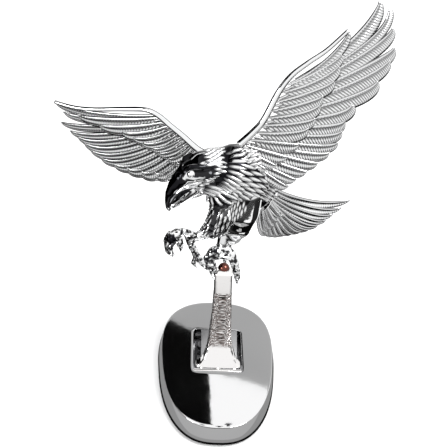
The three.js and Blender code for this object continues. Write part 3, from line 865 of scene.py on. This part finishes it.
# A dark reflection painted from the crown down the top of the beak.
PAINTED_CROWN_REFLECTION = [
    (-9.5, 4.4, 101.3), (-14.2, 3.0, 98.9), (-17.8, 2.0, 95.6), (-20.2, 1.5, 91.8), (-21.6, 1.2, 88.6),
]
BEAK_SHADE = [(-17.0, 0.9, 93.0), (-18.8, 0.8, 91.2), (-20.8, 1.0, 89.9)]
NOSTRIL = [(-19.6, 1.4, 91.8), (-18.6, 1.2, 93.2)]
CERE = [(-17.6, 1.0, 95.4), (-16.6, 0.8, 92.6), (-16.4, 1.2, 90.2)]
BODY_VOXEL = 0.3
FACE_MARKS = [  # course, width, and how deep it is pressed, or 0 where it is only painted dark; the marks are painted shade, and the crown's and beak's are painted reflection
    (SOCKET, 1.2, 0.8), (SOCKET, 1.5, 0), (PAINTED_CROWN_REFLECTION, 1.7, 0), (BEAK_SHADE, 1.2, 0), (BROW, 1.1, 0),
    (NOSTRIL, 0.35, 0.5), (CERE, 0.25, 0.25),
]
NECK_CREASE = [
    (-1, 14, 102.5), (-2.2, 8, 102), (-2.6, 5, 99.5), (-3.4, 3, 96.6), (-4.4, 2.2, 94.4), (-7, 2, 93),
]
for flip in (Vector, far_side):
    chain(body, [(flip(point), radius) for point, radius in zip(TOMIUM, (0.55, 0.55, 0.5, 0.4))])
    chain(body, [(flip(point), radius) for point, radius in zip(BROW, (0.5, 0.9, 0.9, 0.5))])
body = fused(body, BODY_VOXEL, 9)
painted_shade = painted_shade_layer(body)
for flip in (Vector, far_side):
    for course, width, depth in FACE_MARKS:
        flipped = [flip(point) for point in course]
        if depth:
            carve(body, painted_shade, flipped, width, depth)
        else:
            paint_shade_and_reflection(body, painted_shade, flipped, width)
# The crease between head and shoulder is pressed in and painted with shadow.
carve(body, painted_shade, NECK_CREASE, 1.3, 1.2)
paint_shade_and_reflection(body, painted_shade, NECK_CREASE, 1.7)


def in_mouth(spot):
    """Whether a spot lies between the open beak's edges, which part towards its tip."""
    share = (spot.x + 13.3) / (-22.3 + 13.3)
    return 0 < share and 89.5 - 8.6 * share < spot.z < 89.8 - 2.4 * share


# Painted shade inside the open mouth, and over the whole casting behind the head, which shows as shade
# between its raised feathers.
for vert in body.verts:
    if in_mouth(vert.co):
        vert[painted_shade] = 1
    vert[painted_shade] = max(vert[painted_shade], smooth_step(-10.8, -9.4, vert.co.x))
body_surface = BVHTree.FromBMesh(body)


def leaf(bm, layer, surface, start, heading, length, width, thick):
    """One raised, pointed feather laid on a surface, its tip standing off it."""
    found = surface.find_nearest(start)
    if found[0] is None:
        return
    foot, up, _, _ = found
    ahead = (heading - up * heading.dot(up)).normalized()
    side = up.cross(ahead)
    columns = (-1.0, -0.9, -0.5, 0.0, 0.5, 0.9, 1.0)
    rows = 7
    sunk = -0.35  # how far its skirt runs in under the surface

    def place(u, v):
        column = columns[round(u * (len(columns) - 1))]
        skirt = u in (0, 1) or v == 1
        along = min(v * (rows / (rows - 1)), 1)
        half = width / 2 * math.sqrt(max(math.sin(math.pi * (0.16 + 0.82 * along)), 0))
        spot = foot + ahead * (along - 0.35) * length + side * column * half
        rest, normal, _, _ = surface.find_nearest(spot)
        rise = sunk if skirt else thick * (0.15 + 0.85 * along) * (1 - 0.6 * column ** 2)
        return rest + normal * rise

    # Each leaf is painted dark, as shade, where it sinks into the surface under it.
    for vert in skin(bm, len(columns) - 1, rows, place):
        rest, normal, _, _ = surface.find_nearest(vert.co)
        vert[layer] = smooth_step(thick * 0.5, thick * 0.1, (vert.co - rest).dot(normal))


def plumage(surface, course, rows, ring, length, width, thick, bare=None, covers=None):
    """Rows of leaves round a bent axis, each row set half a step round from the last.
    bare is a course that stays free of them, and covers(point) says where they may lie."""
    bm = bmesh.new()
    layer = painted_shade_layer(bm)
    spans = [Vector(b) - Vector(a) for a, b in zip(course, course[1:])]
    for row in range(rows):
        place = row / rows * len(spans)
        span = min(int(place), len(spans) - 1)
        axis = Vector(course[span]) + spans[span] * (place - span)
        ahead = spans[span].normalized()
        first = ahead.cross(Vector((0, 0, 1))).normalized()
        second = ahead.cross(first)
        for i in range(ring):
            angle = 2 * math.pi * (i + 0.5 * (row % 2)) / ring
            outward = first * math.cos(angle) + second * math.sin(angle)
            spot = surface.ray_cast(axis + outward * 40, -outward)[0]
            if spot is None or (bare and gap_to_course(spot, bare) < 1.4):
                continue
            if covers and not covers(spot):
                continue
            jitter = 1 + 0.25 * noise.noise(spot * 3)
            leaf(bm, layer, surface, spot, ahead, length * jitter, width * jitter, thick)
    bmesh.ops.remove_doubles(bm, verts=bm.verts, dist=1e-5)
    bm.normal_update()
    return bm


def plated(name, bm, *replaced):
    return finished(name, bm, cast_chrome, "figure", "cast_chrome", *replaced)


neck_course = [(-8, 7, 94), (-3, 9.5, 91.5), (3, 12, 88), (8, 14, 84), (13, 16.5, 78)]


def above_thighs(spot):
    return spot.z > 82.5 - 0.12 * spot.x and not (spot.z > 94.5 and spot.x < -1.2)


neck_feathers = plumage(
    body_surface, neck_course, rows=7, ring=30, length=6.4, width=1.3, thick=1.0,
    bare=NECK_CREASE, covers=above_thighs,
)
plated("body_feathers", neck_feathers)


def behind_the_eye(spot):
    return -10.2 < spot.x < -4.4 and spot.z > 92 and gap_to_course(spot, SOCKET) >= 1.8


crown_feathers = plumage(
    body_surface, [(-11.5, 5.5, 95.5), (-5, 8.5, 94)], rows=5, ring=26, length=3.2, width=1.1,
    thick=0.5, bare=NECK_CREASE, covers=behind_the_eye,
)
plated("crown_feathers", crown_feathers)
plated("body_casting", body, "eagle_body")

eye_bead = metal("eye_bead", (0.95, 0.95, 0.95), (0.05, 0.05, 0.05), 0.02, 0.04)
for flip, label in ((Vector, "near"), (far_side, "far")):
    bead = bmesh.new()
    bmesh.ops.create_uvsphere(
        bead, u_segments=24, v_segments=16, radius=1.35, matrix=Matrix.Translation(flip(EYE)),
    )
    finished(f"eye_{label}", bead, eye_bead, "figure", "cast_chrome")


# ---------------------------------------------------------------- legs
# Each leg is cast in one with its feathered thigh and scaly foot. The left foot grips
# the arm's head; the right one is drawn up with its claws open.
CLAW_TIP = 0.28
SCALE_RELIEF = 0.28
LIMB_VOXEL = 0.25


def scaly(bm, below):
    """Small knobs on the bare shanks and toes, lower than a height, with shade painted between them."""
    layer = painted_shade_layer(bm)
    for vert in bm.verts:
        share = smooth_step(below + 1.5, below, vert.co.z)
        knob = noise.noise(vert.co * 0.75) + 0.5 * noise.noise(vert.co * 1.7)
        vert.co += vert.normal * knob * SCALE_RELIEF * share
        vert[layer] = share * smooth_step(0.1, -0.25, knob)
    bm.normal_update()


left_leg = bmesh.new()
chain(left_leg, [
    ((4.4, 10.5, 84), 7.2), ((4.2, 9.8, 76), 6.9), ((3.2, 9.2, 70), 5.6), ((1.6, 8.8, 66), 4.2),
])
chain(left_leg, [((-1.5, 7, 76), 4), ((-3, 6.6, 70.5), 3.2), ((-5.5, 6.2, 67.2), 1.8)])
chain(left_leg, [((0, 8.4, 67), 3.2), ((-1.2, 7, 60.5), 2.6)])
chain(left_leg, [  # near toe, over a round knuckle
    ((-1.2, 6.4, 60.8), 2.2), ((-4.4, 4.2, 60.2), 2.5), ((-6.6, 3.2, 58.4), 1.7),
    ((-5.4, 2.7, 56), 1.9), ((-4.6, 2.4, 53), 1.4), ((-3.9, 2.2, 49.4), CLAW_TIP),
])
chain(left_leg, [  # far toe
    ((-1.2, 6.4, 60.8), 2.2), ((1.6, 4.6, 59.6), 2.0), ((3.0, 3.8, 57.2), 1.7),
    ((4.2, 3.0, 53.4), 1.4), ((4.8, 2.6, 50.6), 1.2), ((4.8, 2.4, 47.4), CLAW_TIP),
])
chain(left_leg, [((-4.6, 3.0, 58.6), 0.9), ((-1.6, 2.9, 59.5), 0.9), ((1.4, 3.2, 58.8), 0.9)])
chain(left_leg, [  # rear toe
    ((0.2, 7.6, 60), 2), ((0.4, 9.8, 57), 1.7), ((0.3, 10.6, 53.4), 1.1), ((0.2, 9.8, 50), CLAW_TIP),
])
left_leg = fused(left_leg, LIMB_VOXEL, 3)
scaly(left_leg, 62.5)
painted_shade = left_leg.verts.layers.float["painted_shade"]
carve(left_leg, painted_shade, [Vector((-4.2, 1.6, 60.8)), Vector((-4.6, 1.6, 59.6))], 1.1, 0.7)
left_surface = BVHTree.FromBMesh(left_leg)


def hatched(spot):
    """The feathered part of the left thigh, a band that leans outwards."""
    left = -3.2 + 0.36 * (spot.z - 79.5)
    right = 4.0 + 0.55 * (spot.z - 79.5)
    return left < spot.x < right and spot.y < 12 and spot.z > 66.5


# The feathered band is painted dark, as shade between its raised feathers.
for vert in left_leg.verts:
    if hatched(vert.co):
        vert[painted_shade] = 0.9
left_course = [(4.3, 10, 83), (3.4, 9.4, 75), (1.0, 8.6, 66)]
trousers = plumage(
    left_surface, left_course, rows=10, ring=22, length=3.4, width=1.1, thick=0.8, covers=hatched,
)
plated("left_trousers", trousers)
plated("left_leg_casting", left_leg, "left_leg")

right_leg = bmesh.new()
chain(right_leg, [
    ((-3, 9, 84), 4.4), ((-3.6, 7.6, 77), 3.6), ((-5.2, 6.6, 72), 3.0), ((-8.6, 5.8, 67.6), 2.1),
])
chain(right_leg, [
    ((-8.6, 5.8, 67.6), 2.0), ((-11.4, 4.6, 66.8), 1.6), ((-13.8, 3.0, 69.2), 1.5),
    ((-16.2, 1.8, 71.2), 1.3), ((-18.4, 0.8, 71.2), 1.6), ((-20.2, 0, 69.6), 2.4),
    ((-21.2, -0.6, 66.4), 1.7), ((-20.8, -1, 64), 1.3), ((-18.8, -1.3, 61.8), CLAW_TIP),
])
chain(right_leg, [((-18.4, 1.2, 69.4), 1.7), ((-17, 0.6, 66.4), 1.3), ((-16.8, 0.2, 63.4), CLAW_TIP)])
chain(right_leg, [((-20, 2.4, 68.6), 1.9), ((-22.2, 2.8, 66.4), 1.2), ((-22, 2.8, 63.8), CLAW_TIP)])
chain(right_leg, [
    ((-14.2, 3.0, 69), 1.8), ((-13.2, 3, 64.9), 1.4), ((-11, 3, 59.8), 1.3),
    ((-8.6, 3, 56.2), 1.3), ((-6.2, 2.8, 54), 1.0),
])
chain(right_leg, [((-11, 3, 58.6), 1.2), ((-12, 2.6, 56.6), 0.9), ((-10.8, 2.2, 54.4), CLAW_TIP)])
right_leg = fused(right_leg, LIMB_VOXEL, 3)
scaly(right_leg, 72.5)
right_surface = BVHTree.FromBMesh(right_leg)


def scalloped(spot):
    """The feathered part of the right thigh."""
    return spot.x < -4.2 - 0.18 * (84 - spot.z) and spot.z > 68.5


painted_shade = right_leg.verts.layers.float["painted_shade"]
# The feathered part is painted dark, as shade between its raised feathers.
for vert in right_leg.verts:
    if vert.co.x > -9.5 and scalloped(vert.co + Vector((-1.4, 0, 0))) and vert.co.z > 68:
        vert[painted_shade] = max(vert[painted_shade], 0.95)
# A dark reflection painted on the top of the raised foot's ball.
paint_shade_and_reflection(right_leg, painted_shade, [(-20.6, -2.4, 70.6), (-19.4, -2.6, 69.0)], 1.7)
right_course = [(-3, 9, 84), (-3.6, 7.6, 77), (-5.2, 6.6, 72), (-8.6, 5.8, 67)]
right_trousers = plumage(
    right_surface, right_course, rows=9, ring=12, length=2.4, width=1.0, thick=0.45, covers=scalloped,
)
plated("right_trousers", right_trousers)
plated("right_leg_casting", right_leg, "right_leg")


# ---------------------------------------------------------------- wings
# Each wing is a thin casting: long flight feathers, a shorter row over them, and a
# smooth rib along the leading edge. A tab behind takes its screw.
BARB_PITCH = 1.1
BARB_STEPS = (-1.0, 0.6, 1.0, 0.6)  # one barb: its furrow, then its rounded back
WING_BARB = (0.11, 0.45)  # the height of a barb, and how much shade is painted in its furrow
BARB_SWEEP = 0.8
VANE_COLUMNS = (0.0, 0.05, 0.13, 0.24, 0.5, 0.78, 1.0)
VANE_PROFILE = (-0.3, 0.4, 0.34, -0.08, -0.02, -0.12, -0.5)
# Painted shade along a vane's columns: darkest at its two edges and at the foot of the quill.
VANE_PAINTED_SHADE = (1.0, 0.1, 0.0, 0.6, 0.0, 0.0, 0.9)
SHORT_ROW_LIFT = 1.0
FLIGHT_TUCK = 4.6  # how far a feather runs in under the rib or the row above
SHORT_TUCK = 2.8
FEATHER_WALL = 0.6


def feather(bm, layer, course, width, side, depth_at, lift, tuck, barb):
    """A cast feather: a raised quill on its leading edge and a vane of slanting barbs, with shade painted
    along its edges and in its furrows.
    """
    root, middle, tip = (Vector(point) for point in course)
    root += (root - middle).normalized() * tuck
    control = middle * 2 - (root + tip) / 2
    length = (middle - root).length + (tip - middle).length
    rows = len(BARB_STEPS) * max(4, round(length / BARB_PITCH))
    last = len(VANE_COLUMNS) - 1
    made = bmesh.ops.create_grid(bm, x_segments=last, y_segments=rows, size=1)
    for vert in made["verts"]:
        column = round((vert.co.x + 1) / 2 * last)
        row = round((vert.co.y + 1) / 2 * rows)
        across = VANE_COLUMNS[column]
        along = row / rows
        reach = width * math.sqrt(1 - along ** 5) * min(1, 0.6 + along * 1.6)
        share = along + BARB_SWEEP * across * reach / length * (1 - along ** 2)
        share = min(share, 1)
        spot = root * (1 - share) ** 2 + control * 2 * share * (1 - share) + tip * share ** 2
        ahead = ((control - root) * (1 - share) + (tip - control) * share).normalized()
        spot += Vector((-ahead.y, ahead.x)) * side * across * reach
        relief = BARB_STEPS[row % len(BARB_STEPS)]
        barbed = column >= 3
        rise = VANE_PROFILE[column] * min(1, reach / width + 0.2)
        if barbed:
            rise += barb[0] * relief * (0.4 if column == last else 1)
        # Shade is painted along the vane's columns and, on the barbs, in each furrow.
        vert[layer] = min(1, VANE_PAINTED_SHADE[column] + (barb[1] if barbed and relief < 0 else 0))
        vert.co = (spot.x, depth_at(spot.x, spot.y) - lift - rise, spot.y)
    faces = {face for vert in made["verts"] for face in vert.link_faces}
    bm.normal_update()
    if sum(face.normal.y for face in faces) > 0:
        bmesh.ops.reverse_faces(bm, faces=list(faces))


def spread(courses, overlap, widths, bm, layer, side, depth_at, lift, tuck, barb):
    """A row of feathers; each is as wide as the gap to the next times the overlap, but
    stays between the least and the greatest of widths."""
    for i, course in enumerate(courses):
        after = courses[min(i + 1, len(courses) - 1)]
        before = courses[max(i - 1, 0)]
        gap = (Vector(after[1]) - Vector(before[1])).length / (2 if 0 < i < len(courses) - 1 else 1)
        width = min(max(gap * overlap, widths[0]), widths[1])
        feather(bm, layer, course, width, side, depth_at, lift, tuck, barb)


def left_wing_depth(x, z):
    return 9.3 + 0.05 * (x - 2) + 0.25 * (z - 101)


def right_wing_depth(x, z):
    return 12.3 - 0.45 * (x + 8) + 0.2 * (z - 100)


LEFT_FLIGHT = [
    ((22, 128.5), (35, 138.5), (43.5, 151)), ((17, 123.5), (39, 137), (46.8, 149)),
    ((16.5, 121), (38, 133.5), (49, 143)), ((16, 118.5), (38.5, 129.5), (50.5, 137)),
    ((15, 116.5), (36.5, 125), (49.5, 133)), ((14.5, 114), (35, 120), (46.5, 126)),
    ((13.5, 112), (30.5, 114.5), (38.5, 118)), ((12.5, 110), (28, 110.8), (37, 112.5)),
    ((11, 108), (26.5, 107.5), (36.5, 109)), ((10, 106), (25, 104.3), (35.6, 105)),
    ((8.5, 104), (23, 101.8), (33, 101.5)), ((8, 102.5), (20.5, 99.5), (29.5, 97.8)),
    ((7, 100.5), (18, 97), (26, 94.7)), ((7, 98.5), (16, 94.5), (22.5, 91.7)),
    ((7, 97), (14, 92.5), (20, 89)),
]
LEFT_SHORT = [
    ((19, 126.5), (27.5, 132.6), (34.5, 141.5)), ((18.5, 125.5), (26.5, 129.8), (33, 134.5)),
    ((17, 122.8), (25.5, 126.3), (32.5, 131)), ((15.5, 119.5), (24, 122.6), (31.5, 126)),
    ((14, 116.3), (22, 118.8), (28.2, 121)), ((13, 113.7), (21, 115.4), (27.5, 118)),
    ((11.8, 111), (19.5, 112), (26.5, 113.5)), ((10, 108.2), (17.5, 108.7), (24.5, 110)),
    ((8, 105.6), (15.5, 105.2), (22, 104.7)), ((6.5, 103.2), (12.5, 101.8), (18.5, 100.2)),
    ((5.5, 101.5), (10.5, 99.2), (15, 97)), ((5, 100), (8.5, 97.5), (11.5, 96)),
]
LEFT_RIB = [
    (1.4, 103.4), (5.8, 107.8), (9.2, 112.2), (13.2, 121.2), (17, 126.8), (22, 131), (28, 135.4),
    (34.4, 141.8),
]
RIGHT_FLIGHT = [
    ((-30.5, 105.8), (-47.5, 101.8), (-65.5, 100.5)), ((-30.5, 104.5), (-47.5, 99.8), (-62.5, 98)),
    ((-29.5, 104), (-47.5, 97.4), (-63.5, 93.8)), ((-28, 103), (-45.5, 95), (-60, 91.6)),
    ((-27, 102), (-44, 93), (-57, 90.3)), ((-25.5, 101.3), (-41, 91.5), (-54.5, 88.6)),
    ((-24, 100.5), (-38.5, 90), (-52, 86.5)), ((-22.5, 99.5), (-36, 88.6), (-48, 84.8)),
    ((-20.5, 99), (-33, 87.8), (-43, 84)), ((-19.5, 98), (-30, 87.3), (-38, 84)),
    ((-18, 97), (-26.5, 87.4), (-32.5, 84.4)), ((-17, 96), (-23, 88), (-27.5, 85.4)),
    ((-15.5, 95.5), (-20, 88.5), (-23.5, 85.6)), ((-14.5, 95), (-17.5, 89), (-20, 85.5)),
]
RIGHT_SHORT = [
    ((-30, 105.3), (-42.5, 101.7), (-56.5, 98.8)), ((-28, 104), (-38, 100.3), (-48.5, 97.6)),
    ((-26, 103), (-32.8, 99.6), (-40, 97.3)), ((-24, 102), (-29.8, 98.4), (-35.8, 96.6)),
    ((-21.8, 101), (-27, 97.4), (-32.5, 95.6)), ((-20, 100), (-24.5, 96.4), (-29, 94.7)),
    ((-18, 99), (-22.5, 95.3), (-26.3, 93.8)), ((-16.5, 98), (-19.8, 94.4), (-23, 92.8)),
    ((-15, 97), (-17.4, 93.3), (-19.8, 91.9)), ((-13.5, 96), (-15.5, 92.5), (-17.2, 91)),
]
RIGHT_RIB = [
    (-9, 97.4), (-13, 98.6), (-18, 101.6), (-22.5, 104), (-26.8, 106.4), (-31.5, 107.2), (-40, 105.2),
    (-50, 102.4), (-58, 101), (-65.5, 101),
]
RIB_SHADE_LINE = 0.32  # half the width of the black lines of painted shade that edge a rib


def rib(bm, course, depth_at, start_radius, end_radius):
    """The smooth round bar of a wing's leading edge, drawn as an even curve between two thin black tubes of
    painted shade."""
    points = [Vector(point) for point in course]
    fine = []
    for i in range(len(points) - 1):
        before, after = points[max(i - 1, 0)], points[min(i + 2, len(points) - 1)]
        for step in range(8):
            t = step / 8
            lead = (points[i + 1] - before) / 2
            trail = (after - points[i]) / 2
            spot = points[i] * (2 * t ** 3 - 3 * t ** 2 + 1) + lead * (t ** 3 - 2 * t ** 2 + t)
            spot += points[i + 1] * (3 * t ** 2 - 2 * t ** 3) + trail * (t ** 3 - t ** 2)
            fine.append(spot)
    fine.append(points[-1])
    bar = [Vector((p.x, depth_at(p.x, p.y) - SHORT_ROW_LIFT * 0.5, p.y)) for p in fine]

    def radius_at(share):
        return start_radius + (end_radius - start_radius) * share

    tube(bm, bar, radius_at, 16)
    layer = painted_shade_layer(bm)
    last = len(bar) - 1
    for flank in (-1, 1):
        shade_line = []
        for i, point in enumerate(bar):
            ahead = (bar[min(i + 1, last)] - bar[max(i - 1, 0)]).normalized()
            reach = radius_at(i / last) * 0.92
            shade_line.append(point + ahead.cross(Vector((0, 1, 0))) * flank * reach)
        made = tube(bm, shade_line, lambda share: RIB_SHADE_LINE * (1 - 0.4 * share), 8)
        # The two edge tubes are painted black, as shade.
        for vert in made:
            vert[layer] = 1


def wing(name, flight, short, lead, side, depth_at, radii, node):
    rows = bmesh.new()
    layer = painted_shade_layer(rows)
    spread(flight, 1.25, (3.2, 5.2), rows, layer, side, depth_at, 0, FLIGHT_TUCK, WING_BARB)
    spread(short, 1.2, (2.4, 4.4), rows, layer, side, depth_at, SHORT_ROW_LIFT, SHORT_TUCK, WING_BARB)
    made = plated(f"{name}_feathers", rows, node)
    thicken(made, FEATHER_WALL)
    bar = bmesh.new()
    rib(bar, lead, depth_at, *radii)
    close_up(bar)
    plated(f"{name}_rib", bar)


TAB_RADIUS = 3.2
TAB_LENGTH = 8.0
ROOT_VOXEL = 0.4


def screw_tab(bm, x, z, back):
    """The round boss behind the body that a wing or the tail is screwed through."""
    place = Matrix.Translation((x, back - TAB_LENGTH / 2, z)) @ Matrix.Rotation(math.pi / 2, 4, "X")
    bmesh.ops.create_cone(
        bm, cap_ends=True, segments=40, radius1=TAB_RADIUS, radius2=TAB_RADIUS, depth=TAB_LENGTH,
        matrix=place,
    )


def wing_root(name, forms, tab, course):
    """The feathered shoulder that joins a wing to its boss."""
    root = bmesh.new()
    for middle, radii in forms:
        egg_form(root, middle, radii)
    screw_tab(root, *tab)
    root = fused(root, ROOT_VOXEL, 3)
    layer = painted_shade_layer(root)
    # The front of the shoulder, under its feathers, is painted dark, as shade between them.
    for vert in root.verts:
        vert[layer] = 0.9 * smooth_step(17, 14, vert.co.y)
    surface = BVHTree.FromBMesh(root)
    plumes = plumage(
        surface, course, rows=5, ring=22, length=4.2, width=1.3, thick=0.7,
        covers=lambda spot: spot.y < 15,
    )
    plated(f"{name}_root_feathers", plumes)
    plated(f"{name}_root", root)


wing_root(
    "left_wing", [((5.5, 12, 97.5), (5, 6, 5)), ((7, 18, 94.5), (4, 5, 5))], (6.5, 93.5, 23.2),
    [(1, 12, 98), (9, 13, 101)],
)
wing_root(
    "right_wing", [((-7.5, 15.5, 93.5), (4.5, 4.5, 4)), ((-5, 17.5, 92), (4, 4, 4.5))], (-4.5, 91.5, 21.2),
    [(-4, 15.5, 93), (-12, 15.5, 94)],
)
wing("left_wing", LEFT_FLIGHT, LEFT_SHORT, LEFT_RIB, -1, left_wing_depth, (1.25, 0.6), "left_wing")
wing("right_wing", RIGHT_FLIGHT, RIGHT_SHORT, RIGHT_RIB, 1, right_wing_depth, (1.15, 0.65), "right_wing")


# ---------------------------------------------------------------- tail
# A fan of long, narrow feathers cast in one, with a short row over its root and a square
# lug beside the rump.
def tail_depth(x, z):
    return 17.3 + 0.35 * (x - 12) - 0.1 * (z - 84)


TAIL_LONG = [
    ((16.5, 81), (31, 72), (49, 68)), ((17, 79), (31.5, 69), (46, 64.6)),
    ((17, 77), (31.5, 66), (43, 62)), ((17, 75.5), (31, 63.5), (40.5, 59.6)),
    ((17, 74.5), (28.5, 62.2), (37.5, 57.6)), ((17, 74), (26.3, 61.4), (34, 56)),
    ((17, 73), (24.3, 61), (30.5, 55.4)), ((16.5, 72.5), (22.5, 60.6), (27, 55.2)),
    ((16, 72), (21, 60.4), (24, 55)), ((15.5, 72), (19.3, 60.4), (21.6, 55.3)),
    ((15, 72), (17.5, 61), (19.5, 55.7)), ((14, 72.5), (15.6, 62.5), (17.6, 56.6)),
]
TAIL_SHORT = [
    ((14, 77.5), (18.3, 71), (21.5, 66)), ((14, 76), (17.2, 68.5), (20, 64)),
    ((13.5, 74), (16.5, 66), (19, 61.5)), ((13.5, 72.5), (15.5, 64.5), (17.5, 60.5)),
    ((13.5, 71), (15, 63.5), (16.2, 60)),
]
# the height of a tail barb, and how much shade is painted in its furrow
TAIL_BARB = (0.03, 0.1)
tail = bmesh.new()
layer = painted_shade_layer(tail)
spread(TAIL_LONG, 1.5, (3.2, 5), tail, layer, -1, tail_depth, 0, FLIGHT_TUCK, TAIL_BARB)
spread(TAIL_SHORT, 1.5, (2.4, 5), tail, layer, -1, tail_depth, SHORT_ROW_LIFT, FLIGHT_TUCK, TAIL_BARB)
tail_fan = plated("tail_feathers", tail, "tail_fan")
thicken(tail_fan, FEATHER_WALL)

tail_root = bmesh.new()
egg_form(tail_root, (12, 19, 77), (4.5, 4.4, 7))
screw_tab(tail_root, 10.5, 80, 23.4)
tail_root = fused(tail_root, ROOT_VOXEL, 3)
painted_shade_layer(tail_root)
plated("tail_root", tail_root)

LUG_LOW = Vector((13.2, 12.5, 80.6))
LUG_HIGH = Vector((17.4, 18.5, 84.4))
lug = bmesh.new()
bevelled_box(lug, LUG_LOW, LUG_HIGH, 0.35, 3)
plated("tail_lug", lug)
